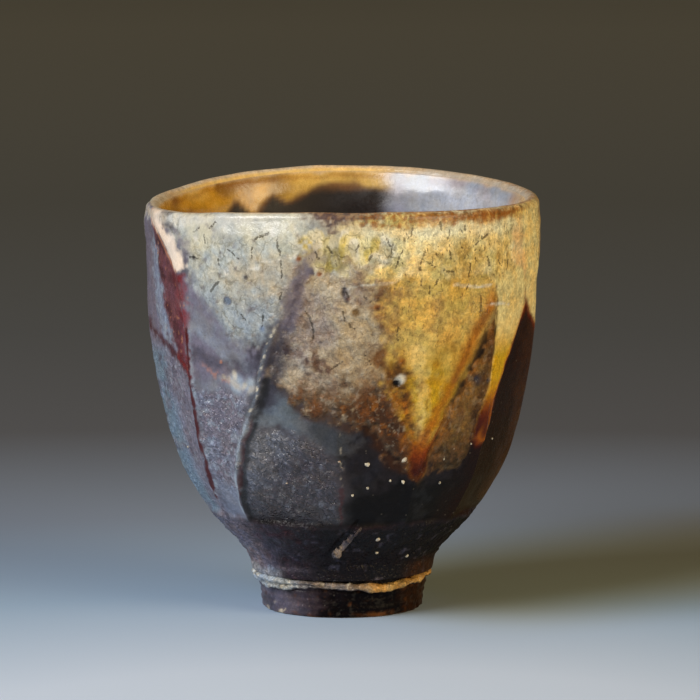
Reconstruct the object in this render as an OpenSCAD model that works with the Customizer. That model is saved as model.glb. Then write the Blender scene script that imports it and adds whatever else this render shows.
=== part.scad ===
// Faceted stoneware tea cup (yunomi) with natural ash glaze, on a turned foot ring.
// The origin is at the middle of the foot, on the surface that the cup stands on.
// +Z is up and -Y is the front. Angles start at the front and grow towards +X.

/* [Overall] */
// Height of the rim at its highest, at the front and back
cup_h = 86; // [78:1:96]
// Diameter over the glaze, at the widest height
cup_d = 82; // [76:1:92]
// Drop of the rim at the left side
rim_dip_left = 2.9; // [0:0.1:3.5]
// Drop of the rim at the right side
rim_dip_right = 1.4; // [0:0.1:3.5]

/* [Wall] */
// Thickness of the clay below the lip
rim_wall = 2.4; // [2:0.1:3.2]
// Thickness of the clay over the hollow of the foot
floor_t = 5.5; // [4:0.5:8]
// Height of the rounded lip that shows bare of thick glaze
lip_h = 1.6; // [1:0.1:2.5]

/* [Facets] */
// Number of knife cuts round the wall
facet_count = 13; // [10:1:16]
// Depth of a cut at its middle
facet_depth = 1; // [0:0.1:1.3]
// Height of the turned underside, where the cuts stop
facet_foot_h = 20; // [17:0.5:24]
// Height over which a cut runs out at its lower end
facet_stop_h = 1.6; // [1:0.1:3]
// Height over which a cut fades out below the rim
facet_fade_h = 12; // [8:1:18]
// Largest step between one cut and the next
facet_step = 1; // [0:0.1:1.3]

/* [Foot] */
// Outside diameter of the foot where it stands
foot_d = 32.8; // [28:0.2:36]
// Outside diameter at the top of the foot
foot_top_d = 34; // [30:0.2:36]
// Height of the foot
foot_h = 8; // [6:0.5:10]
// Inside diameter of the hollow of the foot
recess_d = 24.8; // [18:0.2:26]
// Depth of the hollow of the foot
recess_h = 5.5; // [4.5:0.5:7]
// Width of the worn bevel at the edges of the foot
foot_bevel = 0.6; // [0.2:0.1:1]
// Reach of the wall past the top of the foot, where it springs from it
neck_over = 1.5; // [1:0.1:3]

/* [Seam] */
// Mean reach of the ragged collar past the top of the foot
seam_over = 1.8; // [1.2:0.1:3]
// Height of the collar
seam_h = 2.6; // [1.5:0.1:4]
// Depth of the waves along the collar
seam_wave = 0.4; // [0:0.05:0.6]

/* [Glazes] */
// Thickness of the glaze inside the cup
liner_t = 0.5; // [0.3:0.05:0.8]
// Thickness of the dark glaze outside
dark_t = 0.5; // [0.3:0.05:0.8]
// Thickness of the ash glaze over it
ash_t = 0.6; // [0.3:0.05:1]
// Thickness of a glaze where it thins out at its edge
edge_t = 0.15; // [0.1:0.05:0.25]
// Height above the foot where the dark glaze begins
dark_start_h = 1.8; // [1:0.1:4]
// Thickness of the amber runs
run_t = 0.9; // [0.4:0.05:1.2]
// Thickness of the dry ash crust
crust_t = 0.7; // [0.3:0.05:1]
// Height over which a glaze thickens above its lower edge
swell_h = 4; // [2:0.5:8]

/* [Kiln marks] */
// Width of the largest grain of grit
grit_d = 1.8; // [1:0.1:2.4]
// Height of that grain above the glaze
grit_h = 0.7; // [0.3:0.1:1]
// Length of the clay chip fused to the underside
chip_l = 8.6; // [5:0.2:10]
// Width of the chip
chip_w = 2.4; // [1:0.1:3]
// Thickness of the chip
chip_t = 1.3; // [0.6:0.1:2]

/* [Hidden] */

// Clearance between pieces that touch without sharing a face
seat_gap = 0.1;
turn = 360;
neck_r = foot_top_d / 2 + neck_over;
body_r = cup_d / 2 - ash_t;
cavity_r = body_r - dark_t - rim_wall;
floor_z = recess_h + floor_t;
facet_top_h = cup_h - facet_fade_h;
step_top_h = cup_h - facet_fade_h / 3;
cut_start_z = facet_foot_h + facet_stop_h;

// Outside of the wall: share of the height above the foot, share of the swell from neck to belly
wall_shares = [
    [0, 0], [0.038, 0.03], [0.077, 0.135], [0.128, 0.305], [0.179, 0.455],
    [0.231, 0.57], [0.282, 0.668], [0.359, 0.765], [0.436, 0.84], [0.538, 0.913],
    [0.641, 0.963], [0.744, 0.991], [0.859, 1], [1, 0.991]
];

// Inside of the wall: share of the height above the floor, share of the cavity's radius
cavity_shares = [
    [0, 0], [0.005, 0.16], [0.02, 0.295], [0.055, 0.435], [0.11, 0.555], [0.178, 0.664],
    [0.26, 0.757], [0.37, 0.843], [0.507, 0.912], [0.67, 0.96], [0.835, 0.985], [1, 1]
];

// Heights at which the sideways drift of the cuts is given, as shares of the cup's height
drift_height_shares = [0.24, 0.4, 0.56, 0.72, 0.88, 0.97];

// Drift of each edge between two cuts from its even place, in degrees, at those heights
edge_drift = [
    [-1, -1, -1, 0, 3, 3], [0, -2, -1, 1, 2, 2], [-2, -2, -4, -5, -6, -6],
    [2, 1, -2, -3, -4, -4], [-3, -2, 0, 2, 5, 6], [1, 3, 2, 0, -3, -5],
    [0, -1, 0, 3, 4, 5], [3, 2, 0, -3, -5, -6], [-2, -3, -2, 0, 2, 3],
    [-4, -2, 0, 3, 6, 8], [1, 1, -1, -4, -8, -12], [-4, 0, 1.5, 2, -6, -22],
    [-15, -9, 2, 9, 16, 17]
];

// How deep each cut starts at its left and right edges, as shares of the largest step
step_shares = [
    [0.12, 0], [0.2, 0], [0.4, 0], [0, 0.3], [0.4, 0], [0.2, 0], [0, 0.4],
    [0.3, 0], [0.2, 0], [0, 0.5], [0.2, 0.8], [0, 0], [1, 0]
];

// Degrees that the step between two cuts takes
step_turn = 1.4;

// Places across a cut that get a column of points, and the hollow of the cut there
column_shares = [0, 0.34, 0.67, 1];
cut_hollow_shares = [for (u = column_shares) [u, 4 * u * (1 - u)]];

// Lower edge of the ash glaze: angle, share of the cup's height
ash_line_shares = [
    [-180, 0.6], [-165, 0.66], [-145, 0.76], [-125, 0.7], [-105, 0.84], [-85, 0.9],
    [-64, 0.9], [-52, 0.86], [-44, 0.78], [-34, 0.71], [-24, 0.69], [13, 0.69], [50, 0.72],
    [68, 0.745], [80, 0.8], [92, 0.86], [110, 0.76], [128, 0.68], [145, 0.76], [165, 0.7],
    [180, 0.6]
];

// Lower edge of the dry crust that hangs from the ash line:
// cut, share of the way across it, share of the cup's height
crust_shares = [
    [12, 0.12, 0.62], [12, 0.2, 0.575], [12, 0.38, 0.56], [12, 0.6, 0.55], [12, 0.8, 0.52],
    [12, 1, 0.517], [0, 0, 0.515], [0, 0.2, 0.495], [0, 0.34, 0.482], [0, 0.42, 0.5]
];

// Lower edges of the amber runs that hang from the ash line, given the same way
run_shares = [
    [
        [0, 0.46, 0.67], [0, 0.54, 0.62], [0, 0.67, 0.56], [0, 0.79, 0.49], [0, 0.91, 0.43],
        [0, 1, 0.365], [1, 0, 0.36], [1, 0.08, 0.42], [1, 0.17, 0.475], [1, 0.28, 0.56],
        [1, 0.44, 0.63], [1, 0.67, 0.69]
    ],
    [
        [1, 0.91, 0.69], [1, 0.95, 0.5], [1, 1, 0.44], [2, 0, 0.43], [2, 0.1, 0.5],
        [2, 0.21, 0.57], [2, 0.34, 0.65], [2, 0.56, 0.72]
    ]
];

// Rows of a hanging sheet of glaze, as shares of its drop, and its thickness there
sheet_row_shares = [
    [0, 0.2], [0.1, 0.75], [0.25, 1], [0.4, 1], [0.55, 0.9], [0.7, 0.85], [0.85, 0.75], [1, 0.6]
];

// Grains of grit: angle, share of the cup's height, share of the largest grain
grit_shares = [
    [-1, 0.41, 0.5], [8.5, 0.4, 1], [21, 0.41, 1], [17.5, 0.36, 0.6], [22, 0.355, 0.7],
    [9.5, 0.34, 0.7], [4, 0.325, 0.6], [38, 0.34, 0.6], [48, 0.43, 0.5], [61, 0.43, 0.6],
    [17, 0.205, 0.8], [19, 0.165, 0.6], [40, 0.15, 0.7], [37, 0.4, 0.5], [-20, 0.35, 0.4],
    [-70, 0.4, 0.5], [105, 0.38, 0.7], [150, 0.45, 0.6], [-150, 0.35, 0.8], [-115, 0.3, 0.6]
];
grit_sides = 6;

// Chip: angle and height share of its lower end, and its lean from level along the underside
chip_turn = -3;
chip_height_share = 0.158;
chip_lean = 48;
underside_slope = 48;
// Stations along the chip: shares of its length, width and thickness
chip_row_shares = [
    [0, 0.6, 0.4], [0.1, 1, 1], [0.45, 0.9, 0.8], [0.8, 0.75, 0.7], [1, 0.4, 0.4]
];
// Section of the chip: shares of its half width and its thickness
chip_dome_shares = [[-1, 0.15], [-0.6, 0.8], [0, 1], [0.6, 0.8], [1, 0.15]];

// Waves along the collar: how many go round, and where each starts
seam_waves = [[3, 40], [7, 0], [11, 75]];
seam_sides = 52;
// Section of the collar: share of its overhang, share of its height
seam_section_shares = [[0, 0], [0.55, 0.1], [1, 0.45], [0.95, 0.8], [0.7, 1], [0, 1]];

lip_steps = 5;

function mix(a, b, t) = a + (b - a) * t;

function ramp(v, a, b) =
    let (t = max(0, min(1, (v - a) / (b - a))))
    t * t * (3 - 2 * t);

function positive_turn(a) = a - turn * floor(a / turn);

// Smooth curve through a table of [place, value] rows
function table_row(t, v, i = 0) =
    i >= len(t) - 2 || v <= t[i + 1][0] ? i : table_row(t, v, i + 1);

function table_slope(t, i) =
    let (a = max(0, i - 1), b = min(len(t) - 1, i + 1))
    (t[b][1] - t[a][1]) / (t[b][0] - t[a][0]);

function curve(t, v) =
    let (
        i = table_row(t, v),
        w = t[i + 1][0] - t[i][0],
        u = max(0, min(1, (v - t[i][0]) / w)),
        uu = u * u,
        uuu = uu * u
    )
    (2 * uuu - 3 * uu + 1) * t[i][1] + (uuu - 2 * uu + u) * w * table_slope(t, i)
        + (3 * uu - 2 * uuu) * t[i + 1][1] + (uuu - uu) * w * table_slope(t, i + 1);

function place(a, r, z) = [r * sin(a), -r * cos(a), z];

function turns_per_length(z) = turn / (2 * PI * wall_r(z));

function rim_z(a) = cup_h - (sin(a) < 0 ? rim_dip_left : rim_dip_right) * pow(sin(a), 2);

function wall_r(z) =
    mix(neck_r, body_r, curve(wall_shares, (z - foot_h) / (cup_h - foot_h)));

function ash_line(a) = cup_h * lookup(positive_turn(a + turn / 2) - turn / 2, ash_line_shares);

// Knife cuts: the edge before cut i, and how far a cut lies below the thrown round
function edge_turn(i, z) =
    let (
        drift = edge_drift[i % facet_count % len(edge_drift)],
        rows = [for (m = [0:len(drift) - 1]) [drift_height_shares[m] * cup_h, drift[m]]]
    )
    i * turn / facet_count + curve(rows, z);

function cut_depth(i, u, z) =
    let (steps = step_shares[i % facet_count % len(step_shares)])
    ramp(z, facet_foot_h, cut_start_z) * (
        (1 - ramp(z, facet_top_h, cup_h)) * facet_depth * lookup(u, cut_hollow_shares)
        + (1 - ramp(z, step_top_h, cup_h)) * facet_step * mix(steps[0], steps[1], u)
    );

// Columns of points follow the edges of the cuts
columns = [for (i = [0:facet_count - 1]) for (u = column_shares) [i, u]];

function column_turn(c, z) =
    let (lo = edge_turn(c[0], z), hi = edge_turn(c[0] + 1, z))
    lo + step_turn / 2 + c[1] * (hi - lo - step_turn);

function wall_point(c, z, proud) =
    place(column_turn(c, z), wall_r(z) - cut_depth(c[0], c[1], z) + proud, z);

// The same surface at any angle, for what lies on the glaze
function on_wall(a, z, proud) =
    let (
        hits = [
            for (i = [0:facet_count - 1])
                let (
                    lo = edge_turn(i, z),
                    w = edge_turn(i + 1, z) - lo,
                    d = positive_turn(a - lo)
                )
                if (d < w) [i, d / w]
        ],
        hit = len(hits) > 0 ? hits[0] : [0, 0]
    )
    place(a, wall_r(z) - cut_depth(hit[0], hit[1], z) + proud, z);

// Heights of the rows of points, from the foot to the ash line and on to the lip
under_shares = [0.2, 0.4, 0.6, 0.8];
belly_shares = [0.17, 0.34, 0.51, 0.68, 0.84];
ash_row_shares = [0, 0.12, 0.35, 0.6, 0.82, 1];
dark_start_z = foot_h + dark_start_h;

function column_ash_z(c) = ash_line(column_turn(c, ash_line(column_turn(c, cup_h / 2))));

function column_rim_z(c) = rim_z(column_turn(c, cup_h));

under_rows = concat(
    [foot_h, dark_start_z],
    [for (s = under_shares) mix(dark_start_z, facet_foot_h, s)],
    [facet_foot_h, cut_start_z]
);

function column_rows(c) =
    let (line = column_ash_z(c), top = column_rim_z(c) - lip_h)
    concat(
        under_rows,
        [for (s = belly_shares) mix(cut_start_z, line, s)],
        [for (s = ash_row_shares) mix(line, top, s)]
    );

rows_by_column = [for (c = columns) column_rows(c)];
row_count = len(rows_by_column[0]);
first_ash_row = row_count - len(ash_row_shares);
last_row = row_count - 1;

// Thickness of each outside glaze along the rows
function dark_thickness(j) = j < 2 || j == last_row ? edge_t : dark_t;

function ash_thickness(j, z) =
    let (line_z = z[first_ash_row])
    j == last_row ? edge_t : mix(edge_t, ash_t, ramp(z[j] - line_z, 0, swell_h));

function outside_ring(j, proud) =
    [for (k = [0:len(columns) - 1]) wall_point(columns[k], rows_by_column[k][j], proud)];

function ash_ring(j) = [
    for (k = [0:len(columns) - 1])
        wall_point(columns[k], rows_by_column[k][j], ash_thickness(j, rows_by_column[k]))
];

// Inside of the wall, moved off the clay by a thickness
function cavity_corner(j, c) = [
    cavity_shares[j][1] * cavity_r,
    mix(floor_z, column_rim_z(c) - lip_h, cavity_shares[j][0])
];

function cavity_point(j, c, off) =
    let (
        here = cavity_corner(j, c),
        before = cavity_corner(max(0, j - 1), c),
        after = cavity_corner(min(len(cavity_shares) - 1, j + 1), c),
        along = after - before,
        inward = [-along[1], along[0]] / norm(along),
        p = here + off * inward
    )
    place(column_turn(c, cup_h), p[0], p[1]);

function cavity_ring(j, off) = [for (c = columns) cavity_point(j, c, off)];

// Rounded lip between the outside and the inside of the clay
function lip_ring(s) = [
    for (c = columns)
        let (
            top = column_rim_z(c),
            outer = wall_r(top) - edge_t,
            a = turn / 2 * s / lip_steps
        )
        place(
            column_turn(c, cup_h),
            mix(cavity_r, outer, (1 + cos(a)) / 2),
            top - lip_h + lip_h * sin(a)
        )
];

// Two triangles for each square between neighbouring rings, split the same way on both skins
function ring_faces(j, j2, n, rising) = [
    for (k = [0:n - 1])
        let (a = j * n + k, b = j2 * n + k, c = j2 * n + (k + 1) % n, d = j * n + (k + 1) % n)
        each (rising ? [[a, b, c], [a, c, d]] : [[a, b, d], [b, c, d]])
];

// A coat: rings up its outside and down its inside
module coat(rising_rings, falling_rings) {
    rings = concat(rising_rings, falling_rings);
    n = len(rings[0]);
    points = [for (ring = rings) each ring];
    faces = [
        for (j = [0:len(rings) - 1])
            each ring_faces(j, (j + 1) % len(rings), n, j < len(rising_rings))
    ];
    polyhedron(points, faces);
}

// A vessel: rings up its outside and down its inside, closed at both ends on the axis
module vessel(rising_rings, falling_rings, first_z, last_z) {
    rings = concat(rising_rings, falling_rings);
    n = len(rings[0]);
    m = len(rings);
    points = concat([for (ring = rings) each ring], [[0, 0, first_z], [0, 0, last_z]]);
    walls = [for (j = [0:m - 2]) each ring_faces(j, j + 1, n, j < len(rising_rings))];
    under = [for (k = [0:n - 1]) [m * n, k, (k + 1) % n]];
    upper = [for (k = [0:n - 1]) [m * n + 1, (m - 1) * n + (k + 1) % n, (m - 1) * n + k]];
    polyhedron(points, concat(walls, under, upper));
}

// A patch between two grids of points, whose rows rise and whose columns run round the cup
module patch(outer_grid, inner_grid) {
    rows = len(outer_grid);
    cols = len(outer_grid[0]);
    n = rows * cols;
    points = [for (grid = [outer_grid, inner_grid]) for (row = grid) each row];
    top = [
        for (j = [0:rows - 2]) for (k = [0:cols - 2])
            let (a = j * cols + k, b = a + cols)
            each [[a, b, b + 1], [a, b + 1, a + 1]]
    ];
    under = [for (f = top) [f[2] + n, f[1] + n, f[0] + n]];
    border = concat(
        [for (k = [0:cols - 2]) k],
        [for (j = [0:rows - 2]) j * cols + cols - 1],
        [for (k = [cols - 1:-1:1]) (rows - 1) * cols + k],
        [for (j = [rows - 1:-1:1]) j * cols]
    );
    sides = [
        for (i = [0:len(border) - 1])
            let (a = border[i], b = border[(i + 1) % len(border)])
            each [[a, b, b + n], [a, b + n, a + n]]
    ];
    polyhedron(points, concat(top, under, sides));
}

// A sheet of glaze that hangs from the ash line down to its own lower edge
function sheet_point(place_shares, row, thickness) =
    let (
        c = [place_shares[0], place_shares[1]],
        high = column_ash_z(c) - seat_gap
    )
    wall_point(c, mix(place_shares[2] * cup_h, high, row[0]), seat_gap + thickness);

module sheet(lower_edge_shares, thickness) {
    last = len(lower_edge_shares) - 1;
    outer = [
        for (row = sheet_row_shares) [
            for (k = [0:last])
                sheet_point(
                    lower_edge_shares[k], row, k == 0 || k == last ? edge_t : thickness * row[1]
                )
        ]
    ];
    inner = [
        for (row = sheet_row_shares) [for (place = lower_edge_shares) sheet_point(place, row, 0)]
    ];
    patch(outer, inner);
}

module clay_body() {
    color("#8a7468")
        vessel(
            concat(
                [for (j = [0:last_row]) outside_ring(j, -dark_thickness(j))],
                [for (s = [1:lip_steps - 1]) lip_ring(s)]
            ),
            [for (j = [len(cavity_shares) - 1:-1:1]) cavity_ring(j, 0)],
            foot_h,
            floor_z
        );
}

module foot_ring() {
    color("#4a3530")
        rotate_extrude($fn = 96)
            polygon([
                [0, recess_h],
                [recess_d / 2 - foot_bevel, recess_h],
                [recess_d / 2, recess_h - foot_bevel],
                [recess_d / 2, foot_bevel],
                [recess_d / 2 + foot_bevel, 0],
                [foot_d / 2 - foot_bevel, 0],
                [foot_d / 2, foot_bevel],
                [foot_top_d / 2, foot_h - seam_h],
                [foot_top_d / 2, foot_h],
                [0, foot_h]
            ]);
}

module foot_seam() {
    seat_r = (foot_top_d / 2 + seat_gap) / cos(turn / 2 / seam_sides);
    rings = [
        for (s = seam_section_shares) [
            for (k = [0:seam_sides - 1])
                let (
                    a = k * turn / seam_sides,
                    waves = [for (w = seam_waves) sin(w[0] * a + w[1])],
                    wave = seam_wave * waves * [for (w = seam_waves) 1 / len(seam_waves)]
                )
                place(a, seat_r + s[0] * (seam_over + wave), foot_h - seam_h + s[1] * seam_h)
        ]
    ];
    color("#a08a78") coat(rings, []);
}

module liner_glaze() {
    last = len(cavity_shares) - 1;
    color("#9a7a4a")
        vessel(
            [for (j = [1:last]) cavity_ring(j, 0)],
            [for (j = [last:-1:1]) cavity_ring(j, j == last ? edge_t : liner_t)],
            floor_z,
            floor_z + liner_t
        );
}

module dark_glaze() {
    color("#3d3a42")
        coat(
            [for (j = [1:last_row]) outside_ring(j, 0)],
            [for (j = [last_row:-1:1]) outside_ring(j, -dark_thickness(j))]
        );
}

module ash_glaze() {
    color("#b5a98c")
        coat(
            [for (j = [first_ash_row:last_row]) ash_ring(j)],
            [for (j = [last_row:-1:first_ash_row]) outside_ring(j, 0)]
        );
}

module ash_crust() {
    color("#a58c6a") sheet(crust_shares, crust_t);
}

module amber_runs() {
    color("#b5852a")
        for (edge = run_shares) sheet(edge, run_t);
}

module grain(a, z, share) {
    half_w = share * grit_d / 2;
    half_turn = half_w * turns_per_length(z);
    foot = [
        for (k = [0:grit_sides - 1])
            let (t = k * turn / grit_sides)
            on_wall(a + half_turn * cos(t), z + half_w * sin(t), seat_gap)
    ];
    points = concat(foot, [on_wall(a, z, seat_gap), on_wall(a, z, seat_gap + share * grit_h)]);
    faces = [
        for (k = [0:grit_sides - 1])
            let (next = (k + 1) % grit_sides)
            each [[next, k, grit_sides + 1], [k, next, grit_sides]]
    ];
    polyhedron(points, faces);
}

module kiln_grit() {
    color("#c9bda4")
        for (g = grit_shares) grain(g[0], g[1] * cup_h, g[2]);
}

module clay_chip() {
    start_z = chip_height_share * cup_h;
    rise = sin(underside_slope);
    per_length = turns_per_length(start_z + rise * chip_l / 2);
    // The upper and lower skins share their places and differ in thickness
    skins = [
        for (thickness = [chip_t, 0]) [
            for (row = chip_row_shares) [
                for (d = chip_dome_shares)
                    let (
                        along = row[0] * chip_l,
                        across = d[0] * row[1] * chip_w / 2,
                        x = along * cos(chip_lean) + across * sin(chip_lean),
                        z = along * sin(chip_lean) - across * cos(chip_lean)
                    )
                    on_wall(
                        chip_turn + x * per_length,
                        start_z + z * rise,
                        seat_gap + thickness * row[2] * d[1]
                    )
            ]
        ]
    ];
    color("#8d8577") patch(skins[0], skins[1]);
}

clay_body();
foot_ring();
foot_seam();
liner_glaze();
dark_glaze();
ash_glaze();
ash_crust();
amber_runs();
kiln_grit();
clay_chip();
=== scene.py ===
import math

import bpy
import numpy as np
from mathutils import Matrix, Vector


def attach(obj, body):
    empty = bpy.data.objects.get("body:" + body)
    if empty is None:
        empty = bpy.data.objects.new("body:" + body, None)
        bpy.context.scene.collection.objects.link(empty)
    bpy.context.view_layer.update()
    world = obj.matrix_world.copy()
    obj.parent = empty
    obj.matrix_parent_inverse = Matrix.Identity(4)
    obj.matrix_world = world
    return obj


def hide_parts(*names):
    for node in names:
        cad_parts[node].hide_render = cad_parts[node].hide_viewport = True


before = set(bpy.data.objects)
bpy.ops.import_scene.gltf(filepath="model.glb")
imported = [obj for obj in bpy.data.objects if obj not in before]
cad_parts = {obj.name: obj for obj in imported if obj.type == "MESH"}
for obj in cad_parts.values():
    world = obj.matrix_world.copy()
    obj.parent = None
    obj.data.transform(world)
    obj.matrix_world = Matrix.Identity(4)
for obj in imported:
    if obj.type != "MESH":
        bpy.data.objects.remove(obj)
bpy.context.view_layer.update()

MM = 0.001
TURN = 360.0

# Sizes, as in part.scad
CUP_H, CUP_D = 86.0, 82.0
RIM_DIP_LEFT, RIM_DIP_RIGHT = 2.9, 1.4
RIM_WALL, FLOOR_T, LIP_H = 2.4, 5.5, 1.6
FACET_COUNT, FACET_DEPTH, FACET_STEP = 13, 1.0, 1.0
FACET_FOOT_H, FACET_STOP_H, FACET_FADE_H = 20.0, 1.6, 12.0
FOOT_D, FOOT_TOP_D, FOOT_H = 32.8, 34.0, 8.0
RECESS_D, RECESS_H, FOOT_BEVEL, NECK_OVER = 24.8, 5.5, 0.6, 1.5
SEAM_OVER, SEAM_H = 1.8, 2.6
LINER_T, DARK_T, ASH_T, EDGE_T = 0.5, 0.5, 0.6, 0.15
DARK_START_H, SWELL_H = 1.8, 4.0
STEP_TURN = 1.4

NECK_R = FOOT_TOP_D / 2 + NECK_OVER
BODY_R = CUP_D / 2 - ASH_T
CAVITY_R = BODY_R - DARK_T - RIM_WALL
FLOOR_Z = RECESS_H + FLOOR_T
DARK_Z = FOOT_H + DARK_START_H

WALL_SHARES = [
    (0, 0), (0.038, 0.03), (0.077, 0.135), (0.128, 0.305), (0.179, 0.455), (0.231, 0.57),
    (0.282, 0.668), (0.359, 0.765), (0.436, 0.84), (0.538, 0.913), (0.641, 0.963),
    (0.744, 0.991), (0.859, 1), (1, 0.991),
]
CAVITY_SHARES = [
    (0, 0), (0.005, 0.16), (0.02, 0.295), (0.055, 0.435), (0.11, 0.555), (0.178, 0.664),
    (0.26, 0.757), (0.37, 0.843), (0.507, 0.912), (0.67, 0.96), (0.835, 0.985), (1, 1),
]
DRIFT_SHARES = [0.24, 0.4, 0.56, 0.72, 0.88, 0.97]
EDGE_DRIFT = [
    [-1, -1, -1, 0, 3, 3], [0, -2, -1, 1, 2, 2], [-2, -2, -4, -5, -6, -6],
    [2, 1, -2, -3, -4, -4], [-3, -2, 0, 2, 5, 6], [1, 3, 2, 0, -3, -5],
    [0, -1, 0, 3, 4, 5], [3, 2, 0, -3, -5, -6], [-2, -3, -2, 0, 2, 3],
    [-4, -2, 0, 3, 6, 8], [1, 1, -1, -4, -8, -12], [-4, 0, 1.5, 2, -6, -22],
    [-15, -9, 2, 9, 16, 17],
]
STEP_SHARES = [
    (0.12, 0), (0.2, 0), (0.4, 0), (0, 0.3), (0.4, 0), (0.2, 0), (0, 0.4),
    (0.3, 0), (0.2, 0), (0, 0.5), (0.2, 0.8), (0, 0), (1, 0),
]
ASH_LINE = [
    (-180, 0.6), (-165, 0.66), (-145, 0.76), (-125, 0.7), (-105, 0.84), (-85, 0.9),
    (-64, 0.9), (-52, 0.86), (-44, 0.78), (-34, 0.71), (-24, 0.69), (13, 0.69), (50, 0.72),
    (68, 0.745), (80, 0.8), (92, 0.86), (110, 0.76), (128, 0.68), (145, 0.76), (165, 0.7),
    (180, 0.6),
]


# Small tools
def ramp(v, a, b):
    """Rises smoothly from 0 at a to 1 at b."""
    t = np.clip((v - a) / (b - a), 0, 1)
    return t * t * (3 - 2 * t)


def fall(v, a, b):
    return 1 - ramp(v, a, b)


def band(v, a, b, c, d):
    """Rises from a to b and falls again from c to d."""
    return ramp(v, a, b) * fall(v, c, d)


def near(distance, width):
    return np.exp(-(distance / width) ** 2)


def signed(turn):
    """The same angle, from -180 up to 180."""
    return (turn + TURN / 2) % TURN - TURN / 2


def mix(a, b, t):
    return a + (b - a) * t


def curve(table, v):
    """The smooth curve through a table that part.scad uses."""
    x, y = np.array(table, float).T
    n = len(x)
    low, high = np.maximum(np.arange(n) - 1, 0), np.minimum(np.arange(n) + 1, n - 1)
    slope = (y[high] - y[low]) / (x[high] - x[low])
    i = np.clip(np.searchsorted(x, v, side="left") - 1, 0, n - 2)
    w = x[i + 1] - x[i]
    u = np.clip((v - x[i]) / w, 0, 1)
    uu, uuu = u ** 2, u ** 3
    return ((2 * uuu - 3 * uu + 1) * y[i] + (uuu - 2 * uu + u) * w * slope[i]
            + (3 * uu - 2 * uuu) * y[i + 1] + (uuu - uu) * w * slope[i + 1])


def hashed(ix, iy, iz, seed):
    h = (ix * 374761393 + iy * 668265263 + iz * 1440662683 + seed * 974634777) & 0xFFFFFFFF
    h = ((h ^ (h >> 13)) * 1274126177) & 0xFFFFFFFF
    h = ((h ^ (h >> 16)) * 2246822519) & 0xFFFFFFFF
    return (h ^ (h >> 15)) / 2147483647.5 - 1


def noise(p, size, seed):
    """Smooth noise from -1 to 1, with features about size wide."""
    q = p / size + 91.7
    cell = np.floor(q).astype(np.int64)
    f = q - cell
    f = f * f * f * (f * (f * 6 - 15) + 10)
    total = 0
    for dx in (0, 1):
        wx = f[..., 0] if dx else 1 - f[..., 0]
        for dy in (0, 1):
            wy = f[..., 1] if dy else 1 - f[..., 1]
            for dz in (0, 1):
                wz = f[..., 2] if dz else 1 - f[..., 2]
                corner = hashed(cell[..., 0] + dx, cell[..., 1] + dy, cell[..., 2] + dz, seed)
                total = total + wx * wy * wz * corner
    return total


def layered(p, size, seed, layers=3):
    """Several sizes of noise added up."""
    return sum(noise(p, size / 2 ** i, seed + i) * 0.5 ** i for i in range(layers))


def ridged(p, size, seed):
    """Thin crests winding between rounder hollows, from -1 to 1."""
    return 1 - 2 * np.abs(layered(p, size, seed, 2))


def rgb(r, g, b):
    """A colour written as on a screen, turned to linear light."""
    c = np.array([r, g, b], float) / 255
    return np.where(c <= 0.04045, c / 12.92, ((c + 0.055) / 1.055) ** 2.4)


# The shared grid of the wall: columns follow the knife cuts
FINE, COARSE, WIDE = 56, 26, 104
CUT_COLUMNS = [FINE, FINE, FINE] + [COARSE] * 7 + [FINE, WIDE, FINE]
STEP_COLUMNS = 6
OUTER_ROWS, LIP_ROWS, INNER_ROWS = 208, 14, 96

column_cut, column_u, column_s = [], [], []
for cut, count in enumerate(CUT_COLUMNS):
    for k in range(count - STEP_COLUMNS + 2):
        column_cut.append(cut)
        column_u.append(k / (count - STEP_COLUMNS + 1))
        column_s.append(0.0)
    for k in range(1, STEP_COLUMNS - 1):
        column_cut.append(cut)
        column_u.append(1.0)
        column_s.append(k / (STEP_COLUMNS - 1))
column_cut = np.array(column_cut)
column_u, column_s = np.array(column_u), np.array(column_s)
COLUMNS = len(column_cut)

# How far the hidden backs of the pieces lie under the grid
COAT_BACK = {"dark": 0.45, "ash": 0.5, "crust": 0.5, "run": 0.6}
LINER_BACK, BODY_UNDER_COAT, BODY_UNDER_LINER, BODY_UNDER_POOL = 0.75, 1.3, 1.2, 0.8

# Gaps that keep the foot off the body and the wall inside the CAD model's box
FOOT_GAP, BOX_GAP = 0.02, 0.02

# The lip's curve, and how many times the upper cuts are averaged
LIP_EASE, LIP_POWER, SOFTER_CUTS = 0.12, 0.85, 70


def edge_turn(i, z):
    rows = [(share * CUP_H, EDGE_DRIFT[i % FACET_COUNT][m]) for m, share in enumerate(DRIFT_SHARES)]
    return i * TURN / FACET_COUNT + curve(rows, z)


def column_turn(z):
    """Angle of every column at the heights z, which has one row a height."""
    out = np.empty(z.shape)
    for i in range(FACET_COUNT):
        at = column_cut == i
        lo, hi = edge_turn(i, z[:, at]), edge_turn(i + 1, z[:, at])
        main = lo + STEP_TURN / 2 + column_u[at] * (hi - lo - STEP_TURN)
        out[:, at] = main + column_s[at] * STEP_TURN
    return out


def rim_drop(turn):
    s = np.sin(np.radians(turn))
    return np.where(s < 0, RIM_DIP_LEFT, RIM_DIP_RIGHT) * s ** 2


def wall_r(z):
    return mix(NECK_R, BODY_R, curve(WALL_SHARES, (z - FOOT_H) / (CUP_H - FOOT_H)))


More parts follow.
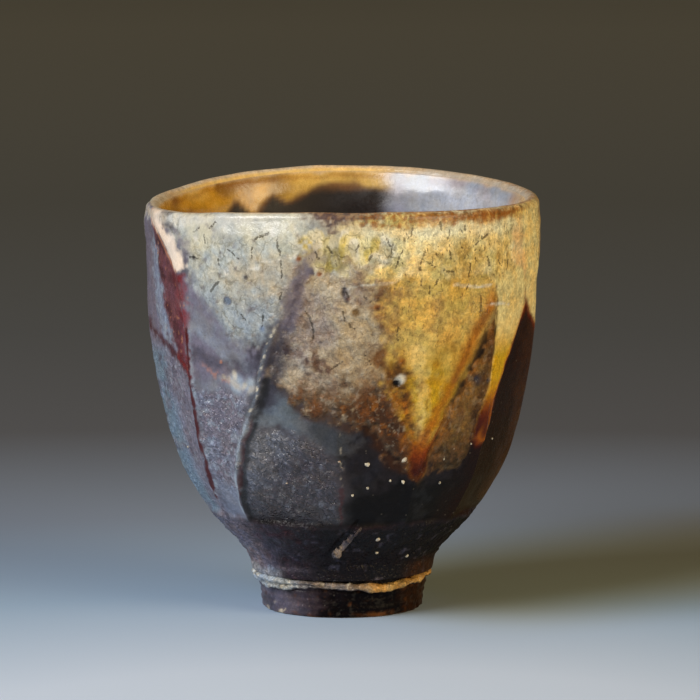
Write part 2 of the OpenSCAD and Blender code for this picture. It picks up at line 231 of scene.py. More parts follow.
def cut_depth(z):
    """How far the knife cuts lie below the thrown round, for every column."""
    steps = np.array(STEP_SHARES)
    here, after = steps[column_cut], steps[(column_cut + 1) % FACET_COUNT]
    along = mix(here[:, 0], here[:, 1], column_u)
    step = mix(along, mix(here[:, 1], after[:, 0], ramp(column_s, 0, 1)), column_s > 0)
    top = CUP_H - FACET_FADE_H
    step_top = CUP_H - FACET_FADE_H / 3
    return ramp(z, FACET_FOOT_H, FACET_FOOT_H + FACET_STOP_H) * (
        fall(z, top, CUP_H) * FACET_DEPTH * 4 * column_u * (1 - column_u)
        + fall(z, step_top, CUP_H) * FACET_STEP * step)


def spread(values, passes):
    """Averages values along the columns."""
    for _ in range(passes):
        values = (np.roll(values, 1, axis=1) + 2 * values + np.roll(values, -1, axis=1)) / 4
    return values


def ash_line(turn):
    x, y = np.array(ASH_LINE).T
    return CUP_H * np.interp(turn, x, y)


full_height = np.full((1, COLUMNS), CUP_H)
rim_turn = column_turn(full_height)[0]
column_top = CUP_H - rim_drop(rim_turn)
base_z = np.linspace(FOOT_H, CUP_H - LIP_H, OUTER_ROWS + 1)
Z = base_z[:, None] - (CUP_H - column_top) * ramp(base_z, 45, CUP_H - LIP_H)[:, None]
A_FULL = column_turn(Z)
A = signed(A_FULL)
RAD = np.radians(A_FULL)


def round_point(turn_rad, r, z):
    return np.stack([r * np.sin(turn_rad), -r * np.cos(turn_rad), z], axis=-1)


BASE = round_point(RAD, wall_r(Z), Z)

# Drawing on the wall: places are (angle, height), distances in millimetres
MM_PER_DEGREE = 0.66
ragged_x = 0.75 * layered(BASE, 3.4, 11, 4)
ragged_z = 0.75 * layered(BASE, 3.4, 23, 4)

grain1 = layered(BASE, 0.95, 801, 2)
grain2 = layered(BASE, 2.3, 803, 3)
breaks = 0.8 * grain1 + 1.0 * grain2


def flat_points(rough, about=0.0):
    return signed(A - about) * MM_PER_DEGREE + rough * ragged_x, Z + rough * ragged_z


def to_segments(places, closed, about=0.0):
    p = np.array(places, float)
    p[:, 0] = (p[:, 0] - about) * MM_PER_DEGREE
    return list(zip(p, np.roll(p, -1, axis=0))) if closed else list(zip(p[:-1], p[1:]))


def line_distance(places, rough=0.3, closed=False, about=0.0):
    x, z = flat_points(rough, about)
    best = np.full(x.shape, 1e9)
    for a, b in to_segments(places, closed, about):
        d = b - a
        t = np.clip(((x - a[0]) * d[0] + (z - a[1]) * d[1]) / max(d @ d, 1e-9), 0, 1)
        best = np.minimum(best, np.hypot(x - a[0] - t * d[0], z - a[1] - t * d[1]))
    return best


def area(places, rough=1.0, about=0.0):
    """Distance from the edge of an outline, above zero inside it."""
    x, z = flat_points(rough, about)
    inside = np.zeros(x.shape, bool)
    for a, b in to_segments(places, True, about):
        crosses = (a[1] > z) != (b[1] > z)
        rise = b[1] - a[1] if abs(b[1] - a[1]) > 1e-9 else 1e-9
        inside ^= crosses & (x < (b[0] - a[0]) * (z - a[1]) / rise + a[0])
    d = line_distance(places, rough, True, about)
    return np.where(inside, d, -d)


def zone(places, soft=0.6, rough=1.0, grow=0.0, about=0.0):
    return ramp(area(places, rough, about) + grow + min(soft, 1.2) * breaks, -soft, soft)


def stroke(places, width, soft=0.3, rough=0.3, about=0.0):
    d = line_distance(places, rough, False, about) + 0.7 * min(soft, 1.0) * breaks
    return fall(d, width / 2 - soft, width / 2 + soft)


def spot(turn, z, radius, soft=0.3, rough=0.25, tall=1.0):
    x, zz = flat_points(rough, turn)
    return fall(np.hypot(x, (zz - z) / tall), radius - soft, radius + soft)


# Outlines and lines of the glaze, from the photograph's front
WHITE = [(-84, 90), (-77.3, 84.6), (-70, 82.6), (-62, 80.4), (-57, 78), (-54, 76.8), (-50.8, 74.2),
         (-48.5, 69.7), (-44.5, 67), (-40, 64.9), (-36.7, 61.4), (-32.4, 59.4), (-23.7, 58.8), (-19.4, 61.2),
         (-16.8, 66.4), (-14.7, 70.5), (-10, 75), (-5, 79), (-4, 83), (-4, 90)]
MAROON = [(-76.9, 80.1), (-70.2, 78.7), (-63.9, 75.6), (-58, 72.4), (-53.9, 72), (-52, 68.5), (-53.4, 56.1),
          (-54.1, 50.9), (-62, 54.9), (-67.3, 59), (-69.6, 66.9), (-75.2, 74.6)]
STREAK = [(-76.6, 78.5), (-71.5, 72.6), (-68.1, 67.2), (-65.2, 61.7), (-62, 56.6), (-66.7, 54.1),
          (-71.2, 58.4), (-75.5, 64.4), (-78.3, 70.4), (-79.1, 75.3)]
PEACH = [(-80.4, 81.4), (-75.5, 83.3), (-67.8, 82.2), (-61, 80.2), (-56.2, 77.9), (-52.2, 75.6),
         (-51.3, 73.8), (-54.3, 72.5), (-58.2, 72.6), (-62.5, 75.5), (-68.5, 78.2), (-75.6, 80.2)]
YELLOW = [(-10.1, 81.4), (-3.3, 82.2), (0.9, 81.5), (0.3, 76.3), (-1.1, 74.1), (-5.6, 73.4), (-9.5, 75.4),
          (-11.2, 78.2)]
CREAM = [(1.1, 81.1), (8.4, 82.2), (15.8, 81.3), (17, 78), (14.7, 75.4), (9.5, 74.6), (3.9, 76), (1.1, 77.5)]
RIDGE = [(-10.6, 77), (-12.3, 74.5), (-14.4, 70.5), (-15.9, 66.4), (-17.5, 63.3), (-19.4, 60.6),
         (-21.4, 58.1), (-22.6, 55.6), (-24.2, 52.2), (-25.2, 48.7), (-27.8, 45.4), (-29.9, 43.3)]
CUT_EDGE = [(-29.9, 43.3), (-31.6, 40.6), (-34.1, 38.8), (-36.4, 34.5), (-39.5, 30), (-41.3, 27.2),
            (-43.4, 24.2), (-43.2, 22), (-42.5, 20.7), (-38.7, 20.3)]
LEFT_EDGE = [(-77.1, 81.5), (-66.8, 77.8), (-60.7, 74.7), (-56, 72.5), (-53.5, 70), (-52.5, 66.5),
             (-53, 60.3), (-54.1, 50.9), (-54.2, 45.7), (-55, 37.3), (-54.8, 33.1), (-56.4, 28.7),
             (-59.6, 24.8)]
RED_DIAGONAL = [(-84, 58.6), (-79.6, 57.4), (-68.8, 56.1), (-61, 54.2), (-55.8, 52.2), (-54, 48.5)]
CRUST = [(-11.5, 75.5), (-13.3, 70.4), (-16.2, 64.3), (-19.5, 59.1), (-21.5, 53.9), (-20.2, 50.4),
         (-15.7, 48.6), (-12.7, 46.6), (-9.7, 45), (-5.2, 44.7), (-0.6, 44.1), (2.5, 43.6), (8.6, 43),
         (12, 39.7), (15.6, 37.5), (18.3, 35.3), (23.3, 33.4), (23.2, 36.8), (20.3, 41.6), (17.4, 46.9),
         (15.4, 52.1), (13.3, 58.3), (12.5, 64.5), (12, 68.5), (10.5, 71.7), (7, 73), (2.2, 74.3),
         (-3.3, 73), (-8.9, 73.4)]
SLATE = [(-25.5, 49.3), (-21, 50.5), (-15.7, 48.2), (-10.4, 44.8), (-0.6, 44), (5, 42.6), (3, 38),
         (-1.3, 35.5), (-13.3, 39.7), (-21.1, 42.6), (-29.1, 42.3)]
GRANULAR = [(-30.5, 41), (-23, 41.5), (-13.3, 39.7), (-3.9, 36.7), (-0.7, 33.5), (-0.8, 22.4), (-9.3, 20.4),
            (-23.2, 19.6), (-36.7, 20.1), (-42.4, 22.8), (-40.4, 27.7), (-35.1, 36.7)]
LEFT_GRAIN = [(-52.7, 48.9), (-41.4, 49.2), (-32.3, 47.7), (-27.9, 46.5), (-32, 40.6), (-36.9, 34.4),
              (-41.9, 27.6), (-48.6, 26.7), (-53.5, 29), (-53.2, 37.5), (-54, 43.7)]
FIRST_RUN = [(14.4, 59.3), (15.3, 54.2), (16.5, 50), (18.5, 45.4), (21, 41.1), (22.5, 38.3), (22.5, 35.2),
             (24.5, 31.7), (27.1, 30.7), (28.7, 32.7), (29.8, 36.5), (31.9, 39.8), (34, 43), (36.5, 47),
             (38.4, 50.2), (41, 52.9), (43.5, 56.4), (46.3, 59.7), (48.6, 63.5), (49.6, 68.6), (46, 72),
             (15, 72), (12.6, 66)]
RUN_BAND = [(25.4, 32), (26, 36), (26.6, 38.6), (28, 41), (30.6, 44.4), (33.4, 48), (36.2, 51.6), (38.6, 55),
            (41, 58.4), (43.9, 61.7), (47, 65.2), (49.6, 68.6)]
SECOND_RUN = [(50.3, 69), (52.1, 62.8), (51.6, 55.8), (50.8, 50.1), (49.9, 46.1), (48.5, 42), (47.8, 38.7),
              (50.3, 36.9), (53.3, 37.4), (55.2, 40.6), (56, 45.1), (57.7, 48.7), (60.8, 53), (64.4, 56.8),
              (68.1, 60.9), (71, 64.2), (66, 72), (54, 73)]
BETWEEN = [(49.9, 69.4), (49.2, 63), (47.5, 57.6), (43.6, 52.3), (39, 47.9), (34.8, 43), (31.2, 36.9),
           (33, 33), (42, 33), (47, 35), (47.8, 40), (50, 46), (51.3, 54), (51.4, 62)]
BEYOND = [(71.6, 64.2), (68.2, 61.2), (64.5, 57.4), (60.9, 53.4), (58, 49), (56.1, 44.8), (55.3, 39.4),
          (56, 32), (66, 24), (110, 20), (112, 44), (104, 50), (96, 51), (87.4, 53.9), (79.5, 58.8),
          (74.5, 62.2)]

d_white = area(WHITE, 1.4)
d_crust = area(CRUST, 1.3)
d_run = area(FIRST_RUN, 0.5)
d_run2 = area(SECOND_RUN, 0.45)
above_line = Z - ash_line(A)

ash_mask = ramp(above_line + 1.6 * layered(BASE, 4.5, 41), -2.2, 2.2)
front_left = (A > -90) & (A < -8)
ash_mask = np.where(front_left, ramp(d_white + 1.3 * breaks, -2.0, 2.0), ash_mask)
right_low = zone(BETWEEN, 0.8, 0.9)
beyond_mask = zone(BEYOND, 0.5, 0.7)
soft_side = fall(A, 18, 26) * ramp(Z, 40, 52)
run_mask = mix(ramp(d_run + 0.35 * breaks, -0.9, 0.7), ramp(d_run + 1.6 * breaks, -2.6, 2.6), soft_side)
run2_mask = ramp(d_run2, -0.4, 0.35)
crust_soft = 1.3 + 1.2 * ramp(Z, 56, 70)
crust_drift = (2.4 * layered(BASE, 5, 47, 3) - 0.8) * ramp(A, 0, 8) * ramp(Z, 46, 53)
crust_mask = ramp((d_crust + (1.1 + 0.6 * ramp(Z, 56, 70)) * breaks + crust_drift) / crust_soft, -1, 1)
granular = zone(GRANULAR, 0.8, 0.8)
left_grain = zone(LEFT_GRAIN, 1.6, 1.0)
lower_left = band(A, -95, -80, -58, -54) * fall(Z, 52, 57)
under = fall(Z + 0.8 * ragged_z, 19.4, 21.2)
back_side = ramp(np.abs(A), 92, 112)

# Relief of the wall
fine = layered(BASE, 1.1, 61, 2)
lumps = layered(BASE, 2.4, 71, 3)
relief = 0.10 * layered(BASE, 15, 81, 2) + 0.07 * layered(BASE, 4.5, 85, 2)
relief += ASH_T * 0.82 * ramp(above_line + 0.8 * layered(BASE, 5, 43), -1.5,
                              SWELL_H) * (1 - 0.35 * crust_mask)
relief += crust_mask * ramp(-above_line, -3, 2) * (0.3 + 0.18 * lumps)
flow = BASE * (1, 1, 0.55)
wrinkle = ridged(flow, 2.6, 83)
relief += crust_mask * (0.16 * lumps + 0.10 * fine + 0.10 * wrinkle)
swelling = np.clip(1 - np.clip(1 - d_run / 2.4, 0, 1) ** 2, 0, 1) ** 0.5
swelling2 = np.clip(1 - np.clip(1 - d_run2 / 1.5, 0, 1) ** 2, 0, 1) ** 0.5
lower_down = ramp(-above_line, -6, 2)
relief += 0.62 * swelling * (d_run > 0) * lower_down
relief += 0.5 * swelling2 * (d_run2 > 0) * lower_down
grain_mask = np.clip(granular + 0.8 * left_grain + 0.7 * lower_left + back_side * (1 - ash_mask) * 0.7, 0, 1)
relief += grain_mask * (0.15 * fine + 0.06 * lumps)
beads = 0.55 + 0.75 * noise(BASE, 1.0, 91)
ridge_d = line_distance([(turn - 1.3, z) for turn, z in RIDGE], 0.12)
relief += 0.3 * near(ridge_d, 0.42) * beads * ramp(Z, 41, 47) * fall(Z, 53, 66)
relief += 0.12 * near(ridge_d, 1.4) * ramp(Z, 55, 62) * fall(Z, 72, 78)
left_d = line_distance(LEFT_EDGE, 0.15)
relief += 0.16 * near(left_d, 0.5) * fall(Z, 70, 74)
relief += under * (0.32 * layered(BASE, 1.9, 101, 3) + 0.13 * fine) * ramp(Z, 9, 11)
tear = [(-46, 10.4), (-35, 9.9), (-20, 10.2), (-8, 9.8), (4, 10.1), (14, 10.6)]
tear_d = line_distance(tear, 0.35)
relief += 0.22 * near(tear_d, 0.45) * (1 - 0.7 * ramp(A, -30, -14))
SCRATCH = [(-6.4, 14.6), (-1.6, 17.2), (3, 19.5), (6.5, 21.6)]
relief -= 0.5 * near(line_distance(SCRATCH, 0.12), 0.55)
TALL_SCRATCH = [(-24.6, 18.6), (-28.7, 13.4)]
relief -= 0.22 * near(line_distance(TALL_SCRATCH, 0.2), 0.4)
PITS = [(16.7, 51.3, 0.75, 0.6), (3.7, 66.2, 0.6, 0.3), (0.9, 70.1, 0.7, 0.35), (45.2, 50.8, 0.5, 0.3),
        (49.8, 50.2, 0.4, 0.25), (-34.8, 67.2, 0.7, 0.2), (160, 62, 0.7, 0.4), (-128, 70, 0.6, 0.35),
        (118, 58, 0.5, 0.3), (-60, 40, 0.5, 0.2)]
for turn, height, radius, depth in PITS:
    x, z = flat_points(0.1, turn)
    away = np.hypot(x, z - height) / radius
    relief += depth * (0.35 * near(away - 1.5, 0.5) - np.exp(-away ** 2))
relief += 0.06 * np.sin(Z * 1.9 + 2.4 * layered(BASE, 9, 111)) * ramp(Z, 70, 80)
lip_near = ramp(Z, CUP_H - 9, CUP_H - 3)
to_rim = (CUP_H - rim_drop(A)) - LIP_H - Z
shoulder = 0.25 + 0.5 * ramp(A, -60, -46) * fall(A, -18, -8)
relief = relief * (1 - 0.55 * lip_near) - shoulder * fall(to_rim, -0.6, 3.2)
relief *= ramp(Z, FOOT_H, FOOT_H + 1.2)

depth = cut_depth(Z)
R_OUT = wall_r(Z) - mix(depth, spread(depth, SOFTER_CUTS), ramp(Z, 56, 70)) + relief
# The widest places stay inside the CAD model's box
R_OUT = np.minimum(R_OUT, CUP_D / 2 - BOX_GAP)
OUT = round_point(RAD, R_OUT, Z)

# The lip and the inside share the columns of the rim
rim_rad = RAD[-1]
LIP_END = math.pi - 0.3
lip_turns = np.linspace(0, LIP_END, LIP_ROWS + 1)[1:]
lip_end_z = (LIP_H - LIP_EASE) * math.sin(LIP_END) ** LIP_POWER
lip_wave = 0.22 * layered(round_point(rim_rad, np.full(COLUMNS, 40.0), np.zeros(COLUMNS)), 9, 121, 3)
inner_top_r = CAVITY_R - EDGE_T
lip_rings = []
for a in lip_turns:
    share = (1 + math.cos(a)) / 2
    r = mix(inner_top_r, R_OUT[-1], share)
    lift = LIP_H - LIP_EASE + lip_wave * math.sin(a) * 0.5
    z = column_top - LIP_H + lift * math.sin(a) ** LIP_POWER
    lip_rings.append(round_point(rim_rad, r, z))
LIP = np.array(lip_rings)

cavity = np.array(CAVITY_SHARES, float)[::-1]
index = np.arange(len(cavity), dtype=float)
steps_at = np.linspace(0, len(cavity) - 1, INNER_ROWS * 4)
share_z = curve(np.column_stack([index, cavity[:, 0]]), steps_at)
share_r = curve(np.column_stack([index, cavity[:, 1]]), steps_at)
length = np.concatenate([[0], np.cumsum(np.hypot(np.diff(share_r * CAVITY_R), np.diff(share_z * 73)))])
even = length[-1] * np.linspace(0, 1, INNER_ROWS + 1) ** 1.4
share_z, share_r = np.interp(even, length, share_z), np.interp(even, length, share_r)
share_r[-1] = 0.008
in_r = share_r[:, None] * CAVITY_R * np.ones(COLUMNS)
in_z = mix(FLOOR_Z, column_top - LIP_H + lip_end_z, share_z[:, None])
slope_r, slope_z = np.gradient(in_r, axis=0), np.gradient(in_z, axis=0)
slope_l = np.hypot(slope_r, slope_z)
liner = mix(EDGE_T, LINER_T, ramp(even, 0, 5))[:, None]
in_base = round_point(rim_rad, in_r, in_z)
near_floor = ramp(-share_z, -0.03, 0)[:, None]
throwing = 0.13 * np.sin(in_z * 1.15 + 1.6 * layered(in_base, 22, 131, 2)) * (1 - near_floor)
spiral = 0.16 * np.sin(in_r * 1.5 - rim_rad + 0.5 * layered(in_base, 9, 133, 2)) * near_floor
swell = ramp(even, 4, 14)[:, None]
top_band = ramp(even, 2.5, 5)[:, None] * fall(even, 15, 24)[:, None]
pillows = 0.34 * layered(in_base, 7.5, 137, 2) * top_band
roll = (1 - np.exp(-even / 2.2))[:, None] * fall(even, 14, 34)[:, None]
in_relief = liner + (throwing + spiral + 0.10 * layered(in_base, 8, 135, 2)) * swell + pillows + roll
in_relief = in_relief * ramp(in_r, 0, 3) + 0.4 * fall(in_r, 0, 3)
IN = round_point(rim_rad, in_r + in_relief * slope_z / slope_l, in_z - in_relief * slope_r / slope_l)
IN[0] = LIP[-1]

GRID = np.concatenate([OUT, LIP, IN[1:]])
ROWS = len(GRID)
LIP_START = OUTER_ROWS
IN_START = OUTER_ROWS + LIP_ROWS


def grid_normals(grid):
    across = np.roll(grid, -1, axis=1) - np.roll(grid, 1, axis=1)
    along = np.gradient(grid, axis=0)
    n = np.cross(across, along)
    return n / np.maximum(np.linalg.norm(n, axis=-1, keepdims=True), 1e-12)


NORMAL = grid_normals(GRID)

# Colours
PALETTE = {
    "white ash": (198, 198, 188), "grey ash": (156, 160, 162), "cream": (240, 226, 178),
    "dark olive": (66, 54, 14), "warm cream": (222, 198, 160), "peach": (255, 230, 208),
    "orange edge": (196, 128, 92), "maroon": (108, 66, 74), "dark maroon": (66, 30, 36),
    "red": (132, 34, 32), "dark red": (74, 16, 14), "lavender": (132, 138, 158),
    "blue grey": (126, 128, 138), "light blue": (160, 172, 186), "purple grey": (118, 110, 124),
    "dark purple": (70, 60, 70), "cyan grey": (104, 128, 144), "slate": (88, 90, 97),
    "slate black": (46, 48, 52), "granular": (66, 60, 66), "gloss black": (14, 11, 11),
    "brown black": (30, 13, 4), "olive": (122, 110, 46), "yellow": (214, 192, 112),
    "ochre": (230, 206, 140), "low ochre": (208, 172, 92), "tan": (240, 196, 136),
    "green ochre": (196, 170, 84), "amber": (204, 162, 24), "orange": (172, 100, 8),
    "red brown": (112, 40, 2), "tip": (50, 8, 0), "brown": (124, 76, 28), "dark brown": (62, 34, 12),
    "crust grey": (184, 168, 142), "crust": (156, 134, 106), "crust brown": (118, 84, 54),
    "rust": (136, 76, 22), "umber": (118, 88, 44), "edge olive": (92, 66, 34), "rim brown": (126, 98, 80),
    "rim orange": (176, 108, 40), "lip": (210, 184, 152), "lip white": (226, 222, 214),
    "lip grey": (184, 172, 158), "dark spot": (54, 50, 60), "spot blue": (120, 134, 156),
    "pale": (216, 206, 186), "foot": (50, 38, 42), "foot light": (98, 92, 108), "foot dark": (6, 4, 5),
    "under": (50, 42, 52), "clay orange": (120, 70, 30), "seam pale": (168, 178, 190),
    "seam grey": (120, 108, 102), "seam gold": (190, 144, 74), "base clay": (142, 112, 86),
    "inside amber": (210, 154, 34), "inside gold": (248, 204, 108), "inside brown": (92, 46, 6),
    "inside black": (24, 14, 12), "inside violet": (150, 144, 164), "inside tan": (210, 176, 100),
    "painted_lamp_reflection": (206, 214, 230), "inside olive": (128, 112, 52), "pool": (112, 122, 84),
}
COLOUR = {name: rgb(*value) for name, value in PALETTE.items()}
FINISHES = ("rough", "crackle", "dash", "grain", "dry", "mottle", "fleck", "gloss", "speck", "crack")
NO_CRACK = 9.0
START = {"mottle": 0.25, "gloss": 0.5, "crack": NO_CRACK}


class Paint:
    """Colours and finishes of a set of points, laid on in turn."""

    def __init__(self, shape, colour, rough=0.35):
        self.wash = np.ones(shape + (1,)) * COLOUR[colour]
        zero = np.zeros(shape)
        self.fields = {name: zero + START.get(name, 0.0) for name in FINISHES}
        self.fields["rough"] += rough

    def lay(self, colour, mask, **finish):
        self.cover(np.clip(mask, 0, 1), COLOUR[colour], finish)

    def within(self, mask, layers):
        """Lays colours inside one mask. Each has its share of it, and a finish where it needs one."""
        for colour, share, *finish in layers:
            self.lay(colour, mask * share, **(finish[0] if finish else {}))

    def cover(self, mask, wash, fields):
        """Lays a whole set of colours and finishes on, by a mask from 0 to 1."""
        self.wash = mix(self.wash, wash, mask[..., None])
        for name, value in fields.items():
            self.fields[name] = mix(self.fields[name], value, mask)

    def everywhere(self, **finish):
        self.set(np.ones(self.wash.shape[:-1]), **finish)

    def set(self, mask, **finish):
        m = np.clip(mask, 0, 1)
        for name, value in finish.items():
            self.fields[name] = mix(self.fields[name], value, m)


wall = Paint(A.shape, "granular", 0.38)
lay, within = wall.lay, wall.within
wander = A + 5 * layered(BASE, 9, 141)
wall.everywhere(gloss=0.45)
patch = layered(BASE, 6, 151, 4)
patch2 = layered(BASE, 3, 161, 4)
small = layered(BASE, 1.5, 171, 3)

# Bare glaze below the run line, all round
lay("gloss black", band(wander, -6, 4, 125, 150), rough=0.42, mottle=0.5, fleck=0.08)
lay("slate", 0.08 * ramp(patch2 + 0.5 * small, 0.0, 0.9) * ramp(wander, -6, 4) * fall(Z, 30, 42))
lay("brown black", band(wander, 34, 58, 120, 150), rough=0.2)
lay("lavender", band(wander, -150, -120, -66, -48), rough=0.36, grain=0.6)
lay("blue grey", ramp(wander, -56, -46) * fall(A, -31, -29) * ramp(Z, 20, 30), rough=0.36)
lay("purple grey", ramp(patch, -0.2, 0.7) * fall(wander, -44, -30) * 0.55)
lay("dark purple", ramp(patch2, 0.25, 0.9) * fall(wander, -44, -30) * 0.45)
lay("cyan grey", fall(wander, -76, -64) * ramp(A, -120, -90) * ramp(-Z, -48, -34) * 0.75)
back_dark = ramp(wander, 120, 150) + fall(wander, -150, -120)
within(back_dark, (
    ("granular", 1.0, dict(rough=0.34, grain=0.7, mottle=0.4)),
    ("purple grey", ramp(patch, -0.1, 0.7) * 0.5),
    ("cyan grey", ramp(patch2, 0.3, 0.9) * ramp(Z, 34, 60) * 0.5),
))
wall.set(band(wander, -4, 6, 125, 150), gloss=0.06)

# The left: recessed red facet, blue streak and grain
within(lower_left, (
    ("lavender", 1.0, dict(grain=0.6, rough=0.4)),
    ("cyan grey", fall(A, -76, -66) * 0.7),
    ("purple grey", ramp(A + 3 * patch2, -74, -64) * 0.75),
    ("purple grey", ramp(patch2, 0.0, 0.6) * 0.5),
    # painted highlights: light blue where the grain noise is high stands in for glints on the grain's tops
    ("light blue", ramp(grain1 + 0.3 * small, 0.45, 0.9) * 0.35),
    ("dark purple", ramp(-grain1 + 0.4 * patch2, 0.4, 0.9) * 0.5),
))
maroon = zone(MAROON, 0.8, 0.9)
lay("purple grey", band(A, -96, -88, -60, -56) * band(Z, 52, 57, 79, 82), grain=0.3)
within(maroon, (
    ("maroon", 1.0, dict(rough=0.3, mottle=0.5, grain=0.15)),
    ("dark maroon", ramp(patch2, 0.0, 0.6) * 0.75),
))
lay("lavender", zone(STREAK, 1.2, 1.2) * 0.9)
lay("light blue", zone(STREAK, 1.6, 1.4, -0.8) * ramp(small, -0.2, 0.6) * 0.6)
lay("purple grey", zone([(-54, 72), (-50, 72), (-45, 66), (-37, 61), (-30, 58), (-24, 57), (-26, 50),
                         (-40, 50), (-54, 50)], 1.5, 1.2), rough=0.33, mottle=0.35)
lay("blue grey", zone([(-50, 66), (-44, 64), (-38, 60), (-30, 57), (-26, 55), (-30, 53.5), (-42, 58),
                       (-50, 60)], 1.6, 1.2) * 0.8)
lay("dark spot", stroke([(-53, 55.6), (-44, 54.6), (-34, 54.8), (-26, 54.4)], 2.8, 1.3, 0.9) * 0.6)
lay("light blue", np.maximum(spot(-34.2, 50.4, 2.0, 1.2), spot(-28.5, 50.4, 1.7, 1.1)) * 0.95, rough=0.25,
    gloss=0.8)
lay("pale", np.maximum(spot(-34.8, 52.2, 0.5, 0.35, tall=1.8), spot(-31, 50.4, 0.6, 0.4)) * 0.7)
lay("light blue", stroke([(-50, 61), (-42, 58), (-36, 55)], 1.4, 1.0, 0.8) * 0.4)
lay("warm cream", stroke([(-38, 51.5), (-33, 50), (-27, 49.3)], 1.0, 0.8, 0.7) * 0.45)
lay("orange edge", stroke([(-47, 53), (-42, 52), (-37.4, 50.6)], 1.0, 0.9) * ramp(grain1, -0.3, 0.4) * 0.5)
lay("orange edge", spot(-39.6, 54.7, 0.35, 0.25) * 0.7)
within(left_grain, (
    ("purple grey", 0.85, dict(grain=1.0, rough=0.3, gloss=1.0)),
    ("lavender", ramp(patch2 + 0.4 * grain1, -0.3, 0.5) * 0.6),
    # painted highlights: light blue where the grain noise is high stands in for glints on the grain's tops
    ("light blue", ramp(grain1 + 0.3 * small, 0.25, 0.8) * 0.45),
    ("dark purple", ramp(-grain1 + 0.4 * patch2, 0.3, 0.8) * 0.6),
))
lay("lavender", zone([(-53, 30), (-44, 29), (-43, 21), (-56, 21)], 1.6, 1.0) * 0.7, grain=0.4)

# The middle: slate, granular panel and gloss
lay("slate", zone(SLATE, 2.2, 1.6), rough=0.28, grain=0.05, mottle=0.35)
lay("slate black", zone(SLATE, 2.4, 1.4) * ramp(A + 7 * patch2, -20, -6) * 0.85)
lay("blue grey", zone(SLATE, 2.4, 0.9) * fall(A, -24, -14) * 0.35)
lay("cyan grey", zone(SLATE, 2.4, 0.9) * fall(A, -20, -10) * ramp(patch, -0.4, 0.5) * 0.3)
lay("dark spot", zone(SLATE, 1.5, 0.9) * fall(A, -24, -18) * ramp(Z + 3 * patch2, 45, 48) * 0.6)
within(granular, (
    ("granular", 1.0, dict(rough=0.34, grain=1.0, mottle=0.6, gloss=0.85)),
    ("dark purple", ramp(patch2, 0.1, 0.7) * 0.5),
    # painted highlights: blue grey where the grain noise is high stands in for glints on the grain's tops
    ("blue grey", ramp(grain1 + 0.3 * patch2, 0.3, 0.9) * 0.5),
    ("gloss black", ramp(-grain1 + 0.3 * patch2, 0.35, 0.9) * 0.45),
    ("blue grey", ramp(Z - 0.5 * (A + 24), 28, 42) * 0.65),
    ("gloss black", fall(Z, 21, 28) * 0.4),
))
lay("dark spot", zone([(0, 43), (14, 40), (22, 33), (40, 33), (46, 36), (40, 30), (0, 30)], 2.5, 1.6) * 0.3)

# Ash above the run line
ash_tone = Paint(A.shape, "grey ash", 0.36)
ash_tone.everywhere(crackle=0.35, mottle=0.35, gloss=0.5)
ash_tone.lay("white ash", band(wander, -165, -130, -14, -4), rough=0.33, crackle=0.22, dash=0.12)
left_ash = band(A, -100, -90, -14, -8)
ash_tone.within(left_ash, (
    ("grey ash", ramp(-Z + 5 * patch, -80, -62) * 0.95, dict(grain=0.35)),
    ("light blue", ramp(-Z + 3 * patch2, -68, -60) * 0.3),
    ("crust", ramp(grain1 + 0.6 * small, 0.35, 0.9) * ramp(-Z, -74, -64) * 0.35),
))
ash_tone.lay("crust grey", zone([(-34, 76), (-22, 76), (-18, 70), (-26, 69), (-36, 72)], 2.2, 1.4) * 0.55)
ash_tone.lay("white ash", ramp(patch2, 0.2, 0.7) * left_ash * 0.6)
ash_tone.lay("cream", ramp(patch + 0.3 * patch2, 0.0, 0.7) * fall(A, -14, -8) * ramp(Z, 68, 75) * 0.25)
ash_tone.lay("olive", zone([(-26, 81), (-18, 81), (-13, 79), (-18, 77), (-28, 78)], 1.8, 1.5)
             * ramp(patch2, -0.3, 0.5) * 0.3)
ash_tone.within(left_ash, (
    ("dark spot", ramp(small + 0.6 * grain1, 0.75, 1.2) * 0.35),
    ("grey ash", ramp(patch2 - 0.6 * patch, 0.0, 0.7) * 0.4),
    ("purple grey", ramp(small + 0.4 * grain1, 0.5, 1.0) * 0.3),
))
ash_tone.lay("crust grey", zone([(-24, 75.5), (-12, 76), (-13, 69), (-22, 69)], 2.0, 1.4) * 0.5)
ash_tone.set(ramp(A, 2, 12), mottle=0.75)
ash_tone.set(left_ash, mottle=0.5, crackle=0.4)
ash_tone.lay("ochre", band(wander, -10, 8, 150, 175), rough=0.34, dash=1.0, crackle=0.3)
ash_tone.set(ramp(A, 60, 70), dash=0.25)
ash_tone.lay("low ochre", band(wander, -10, 8, 150, 175) * fall(Z + 3 * patch, 60, 74) * 0.6)
ash_tone.lay("warm cream", ramp(patch2 - 0.5 * small, 0.1, 0.7) * ramp(wander, 6, 18) * fall(A, 64, 76) * 0.5)
ash_tone.lay("green ochre", band(A, -8, 8, 140, 160) * ramp(patch, -0.1, 0.7) * 0.4)
ash_tone.lay("cream", ramp(patch2 + 0.4 * grain1, 0.0, 0.8) * ramp(wander, 6, 18) * fall(A, 64, 76) * 0.5)
ash_tone.lay("rust", ramp(-patch2 + 0.6 * small, 0.35, 1.0) * ramp(wander, 4, 20) * 0.35)
ash_tone.lay("olive", ramp(-patch + 0.5 * small, 0.2, 0.9) * ramp(wander, 4, 20) * fall(A, 64, 76) * 0.4)
ash_tone.lay("cream", band(A, 8, 16, 50, 62) * ramp(Z + 2.5 * patch2, 75, 80) * 0.7)
ash_tone.lay("green ochre", zone([(34, 80), (50, 79), (50, 72), (36, 71), (24, 74)], 2.5, 1.5) * 0.35)
ash_tone.lay("olive", band(wander, 96, 120, 140, 165) * 0.5)
